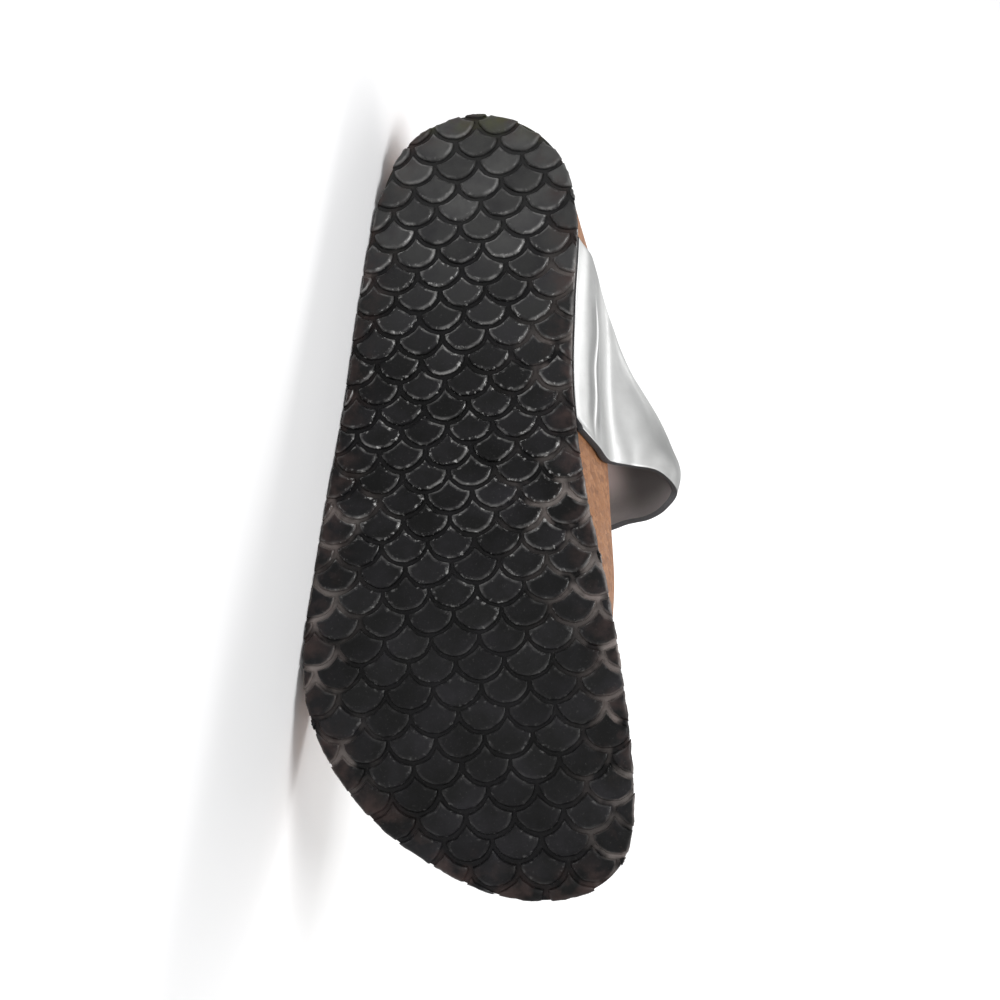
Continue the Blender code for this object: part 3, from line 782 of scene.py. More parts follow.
# %% Tread blocks
BLOCK_RINGS = (
    # at the heel: inset, share of the height; at the worn ball: inset, share; groove mark
    ((BLOCK_FOOT_INSET, -0.15), (0.50, -0.15), 1.00),
    ((0.92, 0.52), (0.68, 0.64), 0.46),
    ((1.36, 0.82), (1.00, 0.95), 0.10),
    ((2.10, 0.97), (2.05, 1.02), 0.00),
)
BLOCK_ROWS = range(-2, int(SOLE_LENGTH / SCALE_ROW_PITCH) + 5)
BLOCK_COLUMNS = range(-5, int(SOLE_WIDTH / SCALE_WIDTH) + 3)
BLOCK_MIN_REACH = 1.0
BLOCK_RAGGED = 0.11
BLOCK_UNEVEN = 0.16
BLOCK_SHORTEST_EDGE = 0.02
BLOCK_RIM_ROUND = 0.35
BLOCK_RIM_RANGE = (3.0, 0.3)
INSET_LIMIT = 0.45
INSET_LIMIT_STEP = 0.1
WORN_DEPTHS = (1.5, 0.8)
ROW_CHANCE = 12.9
COLUMN_CHANCE = 78.2
LEVEL_CHANCE = 4.1
TONE_CHANCE = 2.3
ORDER_STEP = 10000


def ring_edges(bm, ring):
    members = set(ring)
    return [edge for edge in bm.edges if members.issuperset(edge.verts)]


def extruded_ring(bm, ring):
    """Extrudes the open end of a block and returns the new ring in the same order."""
    made = bmesh.ops.extrude_edge_only(bm, edges=ring_edges(bm, ring))["geom"]
    fresh = {part for part in made if isinstance(part, bmesh.types.BMVert)}
    return [
        next(edge.other_vert(old) for edge in old.link_edges if edge.other_vert(old) in fresh)
        for old in ring
    ]


def order_key(part):
    points = [vert.index for vert in part.verts]
    return ORDER_STEP * min(points) + sum(points)


def settle_order(bm):
    """Puts edges and faces in an order that follows from their points, the same in every run."""
    bm.verts.index_update()
    for parts in (bm.edges, bm.faces):
        parts.sort(key=order_key)
        parts.index_update()


def block_mesh(row, column, heart):
    """One block as a small mesh of its own, with its groove and tone attributes."""
    worn = float(smooth_step(groove_depth(*pattern_to_sole(*heart[:2], row, column)), *WORN_DEPTHS))
    chance = ROW_CHANCE * row + COLUMN_CHANCE * column
    turn = block_rays(heart, row, column)
    ragged = BLOCK_RAGGED * (np.sin(3 * turn + chance) + 0.7 * np.sin(7 * turn + 1.7 * chance))
    level = BLOCK_UNEVEN * math.sin(LEVEL_CHANCE * chance)
    bm = bmesh.new()
    groove = bm.verts.layers.float.new("groove")
    tone = bm.verts.layers.float.new("tone")
    ring = bmesh.ops.create_circle(bm, cap_ends=True, segments=BLOCK_SIDES, radius=MM)["verts"]
    for number, (fresh_ring, worn_ring, mark) in enumerate(BLOCK_RINGS):
        if number:
            ring = extruded_ring(bm, ring)
        inset, share = np.array(fresh_ring) * (1 - worn) + np.array(worn_ring) * worn
        inset = min(inset, (INSET_LIMIT + INSET_LIMIT_STEP * number) * heart[2])
        along, across = block_ring(heart, row, column, inset + ragged, turn)
        rim = smooth_step(inside_sole(along, across), *BLOCK_RIM_RANGE)
        rounding = BLOCK_RIM_ROUND * rim * max(share, 0.0)
        up = ground_rise(along) + groove_depth(along, across) * (1 - share) + rounding
        up = up + level * max(share, 0.0)
        for vert, spot in zip(ring, shoe_points(along, across, up)):
            vert.co = spot
            vert[groove] = mark
            vert[tone] = 0.5 + 0.5 * math.sin(TONE_CHANCE * chance)
    bmesh.ops.edgeloop_fill(bm, edges=ring_edges(bm, ring))
    bmesh.ops.dissolve_degenerate(bm, dist=BLOCK_SHORTEST_EDGE * MM, edges=bm.edges)
    bmesh.ops.recalc_face_normals(bm, faces=bm.faces)
    settle_order(bm)
    mesh = bpy.data.meshes.new("block")
    bm.to_mesh(mesh)
    bm.free()
    return mesh


def make_tread_blocks():
    bm = bmesh.new()
    count = 0
    for row in BLOCK_ROWS:
        for column in BLOCK_COLUMNS:
            heart = block_heart(row, column)
            if heart[2] > BLOCK_MIN_REACH:
                block = block_mesh(row, column, heart)
                bm.from_mesh(block)
                bpy.data.meshes.remove(block)
                count += 1
    piece = mesh_piece("tread_blocks", bm, [RUBBER])
    add_wear_marks(piece)
    print("tread blocks:", count)
    return piece


tread_blocks = make_tread_blocks()
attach(tread_blocks, "root")
print("tread faces:", len(tread_blocks.data.polygons))

# %% [markdown]
# The cork footbed is pressed in a mould: a wall that stands on the outsole, a soft rim, a heel cup, a
# raised inner arch and a low bar under the toes. A short table gives the heights at a few stations.
# The wall leans out at the inner arch, where the strap is glued on, and in at the outer side.

# %% Footbed form
GAP = 0.3
WALL_INSET = 0.8
LATERAL_STRAP_INSET = 2.4
LATERAL_STRAP_WINDOW = (68.0, 126.0, 12.0)
LATERAL_RIM_DRAFT = 3.2
LATERAL_DRAFT_WINDOW = (62.0, 132.0, 25.0)
MEDIAL_FLARE = 8.2
MEDIAL_FLARE_CENTRE = 102.0
MEDIAL_FLARE_HEEL_REACH = 84.0
MEDIAL_FLARE_TOE_REACH = 69.0
MEDIAL_FLARE_FADE = 1.2
MEDIAL_TOE_DRAFT = 1.8
MEDIAL_TOE_WINDOW = (180.0, 222.0, 30.0)
FLARE_BOW = 0.8
RIM_ROUND = 1.6
RIM_FLAT = 2.0
FOOTBED = (
    # along, floor, lateral_rim, medial_rim, lateral_cup, medial_cup
    (0.0, 21.5, 39.0, 39.0, 24.0, 24.0),
    (35.0, 20.5, 37.0, 38.0, 24.0, 24.0),
    (65.0, 20.0, 32.5, 37.0, 22.0, 28.0),
    (100.0, 20.0, 28.5, 36.0, 18.0, 36.0),
    (130.0, 19.0, 26.5, 31.0, 16.0, 30.0),
    (160.0, 17.5, 25.0, 25.5, 14.0, 18.0),
    (195.0, 16.5, 24.0, 24.0, 13.0, 13.0),
    (225.0, 18.5, 26.5, 26.5, 13.0, 13.0),
    (SOLE_LENGTH, 23.0, 31.0, 31.0, 13.0, 13.0),
)
TOE_BAR_ALONG = 186.0
TOE_BAR_RISE = 2.0
TOE_BAR_WIDTH = 14.0
FOOTBED_CURVE = curve_through([row[0] for row in FOOTBED], [row[1:] for row in FOOTBED])


def window(along, start, end, blend):
    """1 between start and end, falling smoothly to 0 over the blend on either side."""
    return smooth_step(along, start - blend, start) * smooth_step(along, end + blend, end)


def wall_offset(along, side, share):
    """How far the cork wall stands out from the outsole's edge at a share of its height."""
    share = max(share, 0.0)
    if side == LATERAL:
        strap_inset = LATERAL_STRAP_INSET - WALL_INSET
        inset = WALL_INSET + strap_inset * window(along, *LATERAL_STRAP_WINDOW)
        return -inset - LATERAL_RIM_DRAFT * window(along, *LATERAL_DRAFT_WINDOW) * share**FLARE_BOW
    from_centre = along - MEDIAL_FLARE_CENTRE
    reach = np.where(from_centre < 0, MEDIAL_FLARE_HEEL_REACH, MEDIAL_FLARE_TOE_REACH)
    lean = np.cos(np.minimum(1.0, np.abs(from_centre) / reach) * np.pi / 2)
    flare = MEDIAL_FLARE * np.maximum(lean, 0.0) ** MEDIAL_FLARE_FADE * share**FLARE_BOW
    return -WALL_INSET + flare - MEDIAL_TOE_DRAFT * window(along, *MEDIAL_TOE_WINDOW) * share


def wall_height(along, side, share):
    rim = FOOTBED_CURVE(along)[:, 1 + side]
    foot = outsole_top(along) + GAP
    return foot + (rim - RIM_ROUND - foot) * share


def footbed_top(along, side, weight):
    """The cork's top on the way from the rim (0) to the middle line of the foot (1)."""
    rim_along, rim_across = edge_points(along, side, wall_offset(along, side, 1.0))
    spine_along, spine_across = spine_points(along)
    inside = weight * np.hypot(spine_along - rim_along, spine_across - rim_across)
    spot_along = rim_along + (spine_along - rim_along) * weight
    spot_across = rim_across + (spine_across - rim_across) * weight
    table = FOOTBED_CURVE(along)
    rim, cup = table[:, 1 + side], table[:, 3 + side]
    floor = FOOTBED_CURVE(spot_along)[:, 0]
    bar = hump(spot_along, TOE_BAR_ALONG, TOE_BAR_WIDTH)
    floor = floor + TOE_BAR_RISE * bar * smooth_step(inside / cup)
    climb = 1 - smooth_step((inside - RIM_FLAT) / cup)
    return spot_along, spot_across, floor + (rim - floor) * climb


arch_wall = wall_height(np.array([MEDIAL_FLARE_CENTRE]), MEDIAL, 1.0)
print("wall height at the arch:", round(float(arch_wall[0]), 1), "mm")

# %% [markdown]
# Cork is ground bark pressed with latex: tan granules of one to three millimetres, each a little
# lighter or darker, with dark bark specks and fine pits between them. Cells make the granules, and a
# sealing coat leaves the whole only slightly shiny.

# %% Cork finish
GRANULE_SIZE = 1.9


def cork_finish():
    cork = Finish("granulated_cork")
    base = cork.ramp(
        cork.cells(GRANULE_SIZE).outputs["Color"],
        (0.15, (0.188, 0.078, 0.029)),
        (0.45, (0.268, 0.116, 0.044)),
        (0.70, (0.328, 0.153, 0.064)),
        (0.95, (0.234, 0.096, 0.036)),
    )
    fine = cork.noise(0.6, detail=4.0, rough=0.7, seed=2.0)
    base = cork.mix(cork.spread(fine, 0.45, 0.75, 0.0, 0.5), base, (0.230, 0.095, 0.038))
    seam = cork.cells(GRANULE_SIZE, feature="DISTANCE_TO_EDGE").outputs["Distance"]
    base = cork.mix(cork.spread(seam, 0.10, 0.0, 0.0, 0.55), base, (0.180, 0.070, 0.028))
    bark = cork.spread(cork.noise(1.3, detail=2.0, seed=8.0), 0.66, 0.72)
    base = cork.mix(cork.product(bark, 0.85), base, (0.090, 0.038, 0.018))
    grime = cork.spread(cork.noise(18.0, detail=4.0, seed=4.0), 0.45, 0.75, 0.0, 0.35)
    base = cork.mix(grime, base, (0.260, 0.120, 0.060))
    normal = cork.bump(cork.spread(seam, 0.0, 0.15), 0.12, strength=0.5)
    normal = cork.bump(fine, 0.10, strength=0.5, below=normal)
    rough = cork.spread(cork.noise(2.0, detail=3.0), 0.3, 0.7, 0.62, 0.82)
    return cork.set(Base_Color=base, Roughness=rough, Normal=normal)


CORK = cork_finish()
print("made finish:", CORK.name)

# %% [markdown]
# Wall, rim and top follow each other ring by ring round the foot, so a grid serves again: one of its
# directions goes round the outline and the other climbs the wall and runs in to the middle of the
# foot. The grid's ends meet and are merged, which closes it.

# %% Footbed
CORK_WALL_SHARES = (0.0, 0.02, 0.14, 0.28, 0.42, 0.56, 0.70, 0.84, 0.94, 1.0)
RIM_TURNS = (18.0, 36.0, 54.0, 72.0)
CORK_TOP_WEIGHTS = (0.05, 0.09, 0.14, 0.20, 0.26, 0.34, 0.42, 0.52, 0.62, 0.74, 0.85, 1.0)


def wall_ring(share):
    return round_the_foot(
        lambda along, side: (
            *edge_points(along, side, wall_offset(along, side, share)),
            wall_height(along, side, share),
        )
    )


def rim_ring(degrees):
    """Part of the quarter turn from the wall's top to the rim."""
    angle = math.radians(degrees)

    def ring(along, side):
        inner = footbed_top(along, side, CORK_TOP_WEIGHTS[0])
        outer = edge_points(along, side, wall_offset(along, side, 1.0))
        blend = 1 - math.cos(angle)
        height = wall_height(along, side, 1.0)
        return (
            outer[0] + (inner[0] - outer[0]) * blend,
            outer[1] + (inner[1] - outer[1]) * blend,
            height + (inner[2] - height) * math.sin(angle),
        )

    return round_the_foot(ring)


def top_ring(weight, rise=0.0):
    def ring(along, side):
        spot_along, spot_across, up = footbed_top(along, side, weight)
        return spot_along, spot_across, up + rise

    return round_the_foot(ring)


def make_footbed():
    rings = [wall_ring(share) for share in CORK_WALL_SHARES]
    rings += [rim_ring(degrees) for degrees in RIM_TURNS]
    rings += [top_ring(weight) for weight in CORK_TOP_WEIGHTS]
    return mesh_piece("footbed_cork", closed_grid(np.array(rings)), [CORK])


footbed = make_footbed()
dress(footbed, "footbed")

# %% [markdown]
# Suede is leather with its fibres brushed up: matt, with cloudy light and dark patches where the nap
# lies one way or the other. Two stretched noises make the brushed streaks and the fibres, and a mark
# on the mesh tells where the foot has pressed the nap flat, dark and a little smoother.

# %% Suede finish
FIBRE_STRETCH = (0.45, 1.0, 1.0)
BRUSH_STRETCH = (0.7, 1.0, 1.0)


def suede_finish():
    suede = Finish("tan_suede")
    pressed = suede.attribute("pressed")
    nap = suede.noise(7.0, detail=6.0, rough=0.65)
    fibre_place = suede.stretched(FIBRE_STRETCH)
    fibre = suede.noise(0.5, detail=4.0, rough=0.75, place=fibre_place, seed=1.0)
    brush_place = suede.stretched(BRUSH_STRETCH)
    brushed = suede.noise(2.4, detail=4.0, rough=0.65, place=brush_place, seed=5.0)
    base = suede.ramp(
        nap,
        (0.30, (0.270, 0.155, 0.085)),
        (0.52, (0.345, 0.210, 0.120)),
        (0.75, (0.420, 0.265, 0.160)),
    )
    base = suede.mix(suede.spread(brushed, 0.46, 0.68, 0.0, 0.45), base, (0.480, 0.320, 0.205))
    base = suede.mix(suede.spread(fibre, 0.35, 0.70, 0.0, 0.45), base, (0.210, 0.115, 0.062))
    darkened = suede.product(pressed, suede.spread(nap, 0.2, 0.6, 0.45, 0.8))
    base = suede.mix(darkened, base, (0.120, 0.072, 0.045))
    normal = suede.bump(brushed, 0.25, strength=0.35)
    return suede.set(
        Base_Color=base,
        Roughness=suede.spread(pressed, 0.0, 1.0, 0.95, 0.78),
        Normal=suede.bump(fibre, 0.16, strength=0.7, below=normal),
        Sheen_Weight=0.25,
        Sheen_Roughness=0.6,
    )


SUEDE = suede_finish()
print("made finish:", SUEDE.name)

# %% [markdown]
# The liner is a thin sheet of that suede, glued over the cork a little inside its rim. It follows the
# cork's top at a small distance, so the same rings make it: in under it, round its edge and back over
# the top. Heel, ball and toes have left their prints, which a short table places.

# %% Suede liner
LINER_THICKNESS = 1.2
LINER_RIM_WEIGHT = 0.05
LINER_UNDER_WEIGHTS = (1.0, 0.6, 0.3, 0.12)
LINER_EDGE_RISES = (GAP, GAP + 0.6, GAP + LINER_THICKNESS - 0.25)
LINER_TOP_WEIGHTS = (
    0.055, 0.065, 0.09, 0.13, 0.18, 0.24, 0.30, 0.37, 0.44, 0.52, 0.60, 0.70, 0.80, 0.90, 1.0,
)
PRESSED_SPOTS = (
    # along, across, reach, strength
    (38.0, 36.0, 32.0, 0.9),
    (176.0, 78.0, 26.0, 0.8),
    (172.0, 40.0, 30.0, 0.7),
    (224.0, 86.0, 15.0, 0.7),
    (220.0, 60.0, 12.0, 0.4),
    (209.0, 40.0, 12.0, 0.35),
    (196.0, 22.0, 11.0, 0.3),
)


def make_liner():
    under = [top_ring(weight, rise=GAP) for weight in LINER_UNDER_WEIGHTS]
    edge = [top_ring(LINER_RIM_WEIGHT, rise=rise) for rise in LINER_EDGE_RISES]
    top = [top_ring(weight, rise=GAP + LINER_THICKNESS) for weight in LINER_TOP_WEIGHTS]
    piece = mesh_piece("suede_liner", closed_grid(np.array(under + edge + top)), [SUEDE])
    along, across, _ = piece_places(piece)
    add_attribute(piece, "pressed", spot_mark(along, across, PRESSED_SPOTS))
    return piece


liner = make_liner()
dress(liner, "insole")

# %% [markdown]
# The strap is synthetic leather in three layers: a smooth silver film outside, a dark core that shows
# at every cut edge, and a warm grey felt against the foot. Three finishes on one piece show this. The
# film gets a fine leather grain and soft scratches, the felt gets short tangled fibres, and marks on
# the mesh place painted shade at the crease and on the upper wall, back edge and shoulder, a painted
# highlight on the crease's ridge, soil with painted shade deep in the loop and painted light on a
# patch of felt.

# %% Strap finishes
RUB_STRETCH = (1.0, 1.0, 0.3)


def silver_finish():
    silver = Finish("silver_film")
    cloud = silver.noise(12.0, detail=3.0)
    base = silver.ramp(cloud, (0.30, (0.475, 0.478, 0.475)), (0.70, (0.535, 0.538, 0.533)))
    grain = silver.cells(0.75).outputs["Distance"]
    rub = silver.noise(1.6, detail=5.0, rough=0.7, place=silver.stretched(RUB_STRETCH), seed=4.0)
    base = silver.mix(silver.spread(rub, 0.55, 0.80, 0.0, 0.25), base, (0.370, 0.373, 0.372))
    # Painted shade: the worn mark darkens the film on the upper wall, back edge and shoulder; it also makes
    # it rougher
    dulling_and_shade = silver.product(silver.attribute("worn"), silver.spread(cloud, 0.2, 0.7, 0.7, 1.0))
    base = silver.mix(dulling_and_shade, base, (0.170, 0.172, 0.170))
    # Painted shade in the hollows beside the crease and along the fold line
    crease = silver.product(silver.attribute("crease"), 0.7)
    base = silver.mix(crease, base, (0.140, 0.142, 0.143))
    # Painted highlight along the crease's ridge
    base = silver.mix(silver.attribute("ridge"), base, (0.800, 0.803, 0.800))
    film_rough = silver.spread(rub, 0.3, 0.7, 0.36, 0.46)
    rough = silver.maths("ADD", film_rough, silver.spread(dulling_and_shade, 0.0, 1.0, 0.0, 0.2))
    normal = silver.bump(grain, 0.04, strength=0.15)
    normal = silver.bump(cloud, 0.20, strength=0.12, below=normal)
    return silver.set(Base_Color=base, Roughness=rough, Normal=normal, Metallic=0.5)


def cut_edge_finish():
    core = Finish("dark_cut_edge")
    fray = core.noise(0.5, detail=4.0, rough=0.7)
    base = core.ramp(
        fray,
        (0.30, (0.040, 0.040, 0.043)),
        (0.65, (0.085, 0.085, 0.090)),
        (0.85, (0.160, 0.160, 0.160)),
    )
    return core.set(Base_Color=base, Roughness=0.85, Normal=core.bump(fray, 0.10, strength=0.5))


def felt_finish():
    felt = Finish("grey_felt")
    tangle = felt.noise(0.45, detail=5.0, rough=0.8)
    patch = felt.noise(9.0, detail=3.0, seed=6.0)
    base = felt.ramp(patch, (0.30, (0.265, 0.250, 0.256)), (0.70, (0.350, 0.332, 0.338)))
    base = felt.mix(felt.spread(tangle, 0.42, 0.70, 0.0, 0.6), base, (0.215, 0.203, 0.208))
    # Painted light on a patch of felt
    base = felt.mix(felt.attribute("painted_light"), base, (0.640, 0.575, 0.590))
    # Soil and painted shade deep inside the loop
    soil_and_shade = felt.product(felt.attribute("soil_and_shade"), 0.85)
    base = felt.mix(soil_and_shade, base, (0.050, 0.048, 0.050))
    normal = felt.bump(tangle, 0.12, strength=0.6)
    return felt.set(Base_Color=base, Roughness=0.95, Normal=normal, Sheen_Weight=0.3)


STRAP_FINISHES = [silver_finish(), cut_edge_finish(), felt_finish()]
SILVER, CUT_EDGE, FELT = range(3)
print("strap finishes:", [finish.name for finish in STRAP_FINISHES])

# %% [markdown]
# The strap is cut flat and bent: up the inner cork wall, out in a slack bulge, over the instep, where
# a tongue runs down to the toe post, and down to a narrow free end on the outer side. Its rows of
# points cross it from the back edge to the front edge, and a smooth surface runs through the rows.

# %% Strap form
STRAP_THICKNESS = 2.3
STRAP_COLUMNS = 46
SPOT_STEP = 0.2
UPPER_WALL_ROWS = (
    # wall_share, stand_off, back_along, front_along
    (-0.05, 0.3, 41.5, 108.0),
    (0.33, 0.6, 43.5, 111.5),
    (0.64, 0.8, 47.0, 114.6),
    (0.95, 0.9, 52.0, 114.2),
)
UPPER_FOLDS = (
    # back: along, across, up; middle: along, across, up; front: along, across, up
    ((60.5, 82.0, 38.5), (86.0, 89.8, 39.5), (110.2, 94.4, 39.0)),
    ((70.5, 87.0, 45.5), (91.0, 98.2, 45.0), (110.2, 103.0, 43.8)),
    ((79.5, 93.0, 53.0), (97.0, 105.2, 51.5), (115.4, 109.5, 49.0)),
    ((87.0, 94.5, 61.0), (104.0, 104.6, 58.0), (121.2, 106.4, 53.2)),
    ((93.0, 91.0, 68.0), (109.0, 99.6, 64.0), (124.6, 100.5, 57.5)),
    ((97.0, 84.0, 73.5), (112.5, 90.5, 69.0), (127.2, 91.0, 61.0)),
    ((99.0, 76.5, 77.0), (117.0, 80.5, 72.5), (134.0, 82.0, 63.0)),
    ((99.8, 70.5, 78.6), (129.0, 74.0, 72.0), (158.0, 76.3, 57.6)),
    ((100.0, 65.5, 79.3), (148.0, 70.0, 65.8), (195.0, 73.4, 39.6)),
    ((100.0, 61.0, 79.5), (150.0, 65.5, 66.0), (199.0, 68.6, 38.0)),
    ((99.8, 56.5, 79.3), (147.0, 60.5, 65.8), (195.0, 63.6, 39.6)),
    ((98.5, 50.5, 78.0), (126.0, 54.5, 72.0), (156.0, 58.2, 57.6)),
    ((96.5, 44.0, 75.8), (114.0, 46.5, 71.0), (132.0, 48.5, 63.0)),
    ((93.0, 35.0, 71.0), (107.0, 36.0, 67.0), (120.0, 37.0, 61.5)),
    ((89.0, 25.5, 64.0), (100.5, 26.0, 61.8), (112.0, 26.5, 58.8)),
    ((86.6, 17.5, 56.5), (96.5, 17.6, 56.0), (106.5, 17.7, 55.5)),
    ((86.2, 11.0, 48.5), (96.0, 11.0, 48.5), (105.8, 11.0, 48.5)),
    ((86.2, 5.2, 40.0), (96.0, 5.2, 40.0), (105.8, 5.2, 40.0)),
    ((86.4, 1.5, 33.0), (96.0, 1.4, 32.6), (105.6, 1.5, 33.0)),
    ((88.4, 0.3, 29.8), (96.0, 0.1, 28.4), (103.6, 0.3, 29.8)),
)
SHARES = np.linspace(0, 1, STRAP_COLUMNS + 1)


def wall_row(side, share, back, front, outside):
    """Places on the cork wall from the strap's back edge to its front edge."""
    along = back + (front - back) * SHARES
    spots = edge_points(along, side, wall_offset(along, side, share) + outside)
    return np.stack([*spots, wall_height(along, side, share)], axis=-1)


def fold_row(back, middle, front):
    """Places on one fold: a parabola through its back, middle and front points."""
    t = SHARES[:, None]
    back, middle, front = (np.array(point) for point in (back, middle, front))
    return back * (1 - t) * (1 - 2 * t) + middle * 4 * t * (1 - t) + front * t * (2 * t - 1)


UPPER_ROWS = [
    wall_row(MEDIAL, share, back, front, stand_off + STRAP_THICKNESS)
    for share, stand_off, back, front in UPPER_WALL_ROWS
]
UPPER_ROWS += [fold_row(*fold) for fold in UPPER_FOLDS]
UPPER_CURVE = curve_through(range(len(UPPER_ROWS)), UPPER_ROWS)


def upper_surface(rows):
    return UPPER_CURVE(rows).reshape(-1, STRAP_COLUMNS + 1, 3)


def upper_spot(row):
    """Middle of the strap at a row: its place, its run down the strap and its outward normal."""
    middle = STRAP_COLUMNS // 2
    before, here, after = upper_surface([row - SPOT_STEP, row, row + SPOT_STEP])
    run = after[middle] - before[middle]
    out = np.cross(here[-1] - here[0], run)
    out = out / np.linalg.norm(out) * (-1 if out[1] > 0 else 1)
    return here[middle], run / np.linalg.norm(run), out


print("strap rows:", len(UPPER_ROWS))

# %% [markdown]
# A few small moves make the strap look used. It swells a little on the wall and on the shoulder where
# it turns over, a slanting crease with a hollow on each side crosses it on the wall, and the slack and
# the instep have fine wrinkles. Each move is a height over the smooth surface. Marks for the finishes
# go with them: painted shade in the hollows and along the fold, a painted highlight on the ridge,
# painted shade and a rougher film on the upper wall, back edge and shoulder, soil with painted shade
# deep in the loop, and painted light on a patch of felt.

# %% Strap wrinkles
CREASE_ROW = 1.45
CREASE_SLANT = 0.55
CREASE_WAVER = 0.04
CREASE_WAVES = 19.0
CREASE_HEIGHT = 0.5
RIDGE_ROWS = 0.075
HOLLOW_AWAY = 0.24
HOLLOW_ROWS = 0.12
HOLLOW_DEPTH = 0.25
FAR_HOLLOW = 0.6
SWELL_ROW = 1.35
SWELL_ROWS = 0.34
SWELL_WINDOW = (0.3, 0.75, 0.3)
SWELL_HEIGHT = 0.9
SHOULDER_ROW = 5.8
SHOULDER_ROWS = 0.9
SHOULDER_SHARE = 0.80
SHOULDER_SHARES = 0.16
SHOULDER_HEIGHT = 1.6
SLACK_ROW = 4.6
SLACK_ROWS = 1.3
SLACK_HEIGHT = 0.05
FLEX_HEIGHT = 0.06
FOLD_LINE_ROW = 6.2
FOLD_LINE_ROWS = 0.30


def wall_crease(row, share):
    """The crease on the wall: where the strap is bent, its ridge, and the hollows beside it."""
    bent = smooth_step(share, 0.15, 0.35) * smooth_step(share, 1.0, 0.82)
    line = CREASE_ROW - CREASE_SLANT * share + CREASE_WAVER * np.sin(share * CREASE_WAVES)
    hollow = hump(row - line, HOLLOW_AWAY, HOLLOW_ROWS)
    hollow = hollow + FAR_HOLLOW * hump(row - line, -HOLLOW_AWAY, HOLLOW_ROWS)
    return bent, hump(row, line, RIDGE_ROWS), hollow


def strap_swells(row, share):
    """Heights of the broad swells on the wall and on the shoulder."""
    swell = hump(row, SWELL_ROW, SWELL_ROWS) * window(share, *SWELL_WINDOW)
    away = ((row - SHOULDER_ROW) / SHOULDER_ROWS) ** 2
    away = away + ((share - SHOULDER_SHARE) / SHOULDER_SHARES) ** 2
    return SWELL_HEIGHT * swell + SHOULDER_HEIGHT * np.exp(-away)


def strap_relief(row, share):
    """Heights of the small wrinkles: the crease, the slack's ripples and flex lines on the instep."""
    bent, ridge, hollow = wall_crease(row, share)
    slack = hump(row, SLACK_ROW, SLACK_ROWS)
    ripple = np.sin(row * 5.2 + share * 9.0) * np.sin(share * 14.0 + row * 1.7)
    relief = bent * (CREASE_HEIGHT * ridge - HOLLOW_DEPTH * hollow) + SLACK_HEIGHT * slack * ripple
    instep = smooth_step(row, 7.5, 9.0) * smooth_step(row, 17.5, 15.5) * smooth_step(share, 0.95, 0.55)
    flex = np.sin(row * 7.3 + 2.2 * np.sin(share * 6.0)) + 0.6 * np.sin(row * 13.1 + share * 11.0)
    return relief + FLEX_HEIGHT * instep * flex


def strap_marks(row, share):
    """Marks for the finishes: painted shade at the crease and on the upper wall, back edge and shoulder, a
    painted highlight on the ridge, soil with painted shade, and painted light on the felt.
    """
    bent, ridge, hollow = wall_crease(row, share)
    # Painted shade along the fold, where the strap turns away
    fold_line = hump(row, FOLD_LINE_ROW, FOLD_LINE_ROWS) * smooth_step(share, 0.3, 0.7)
    # Painted shade on the upper wall, the back edge and the turned-over shoulder, where the film is also
    # rougher
    upper_wall = smooth_step(row, 0.45, 0.9) * smooth_step(row, 3.0, 1.8) * np.ones_like(share)
    back_edge = smooth_step(share, 0.22, 0.0) * smooth_step(row, 3.0, 4.5) * smooth_step(row, 10.0, 7.0)
    turned_over = smooth_step(row, 3.9, 5.6) * smooth_step(row, 8.6, 7.0) * smooth_step(share, 0.1, 0.6)
    return {
        # crease: painted shade in the hollows and along the fold
        "crease": np.maximum(bent * hollow, fold_line),
        # ridge: a painted highlight
        "ridge": bent * smooth_step(ridge, 0.35, 0.9),
        # worn: painted shade, and a rougher film
        "worn": np.maximum.reduce([0.72 * upper_wall, 0.7 * back_edge, 0.75 * turned_over]),
        # soil with painted shade deep inside the loop
        "soil_and_shade": window(row, 6.0, 8.3, 1.2) * (1 - 0.6 * smooth_step(share, 0.6, 0.98)),
        # painted light on a patch of felt
        "painted_light": window(row, 9.4, 10.8, 0.9) * smooth_step(share, 0.7, 0.3),
    }


print("crease height:", CREASE_HEIGHT, "mm, between hollows of", HOLLOW_DEPTH, "mm")

# %% [markdown]
# Sheet leather has an outer face, an inner face and a cut edge between them. Here the outer face is a
# grid whose points also remember their place on the inner face. It is extruded once, the new points
# go to that inner face, which gets the felt, and the walls of the extrusion are the cut edge. A
# Solidify modifier would follow every small ridge, and its inner face would fold into itself.

# %% Strap layers
NORMAL_PASSES = 12
SOFT_EDGE = 0.15
UNDER = ("under_x", "under_y", "under_z")


def surface_normals(places):
    across = np.gradient(places, axis=1)
    down = np.gradient(places, axis=0)
    normals = np.cross(down, across)
    return normals / np.linalg.norm(normals, axis=-1)[..., None]


def calm_normals(places):
    """Outward directions of a sheet, evened out so that its inner face stays smooth."""
    normals = surface_normals(places)
    for _ in range(NORMAL_PASSES):
        edged = np.pad(normals, ((1, 1), (1, 1), (0, 0)), mode="edge")
        normals = edged[:-2, 1:-1] + edged[2:, 1:-1] + edged[1:-1, :-2] + edged[1:-1, 2:]
        normals = normals / np.linalg.norm(normals, axis=-1)[..., None]
    return normals


def strap_sheet(outer, inner, **marks):
    """A grid on the strap's outer face whose points remember their place on the inner face."""
    spots = shoe_points(inner[..., 0], inner[..., 1], inner[..., 2])
    under = {name: spots[..., axis] for axis, name in enumerate(UNDER)}
    return grid_mesh(outer, **marks, **under)


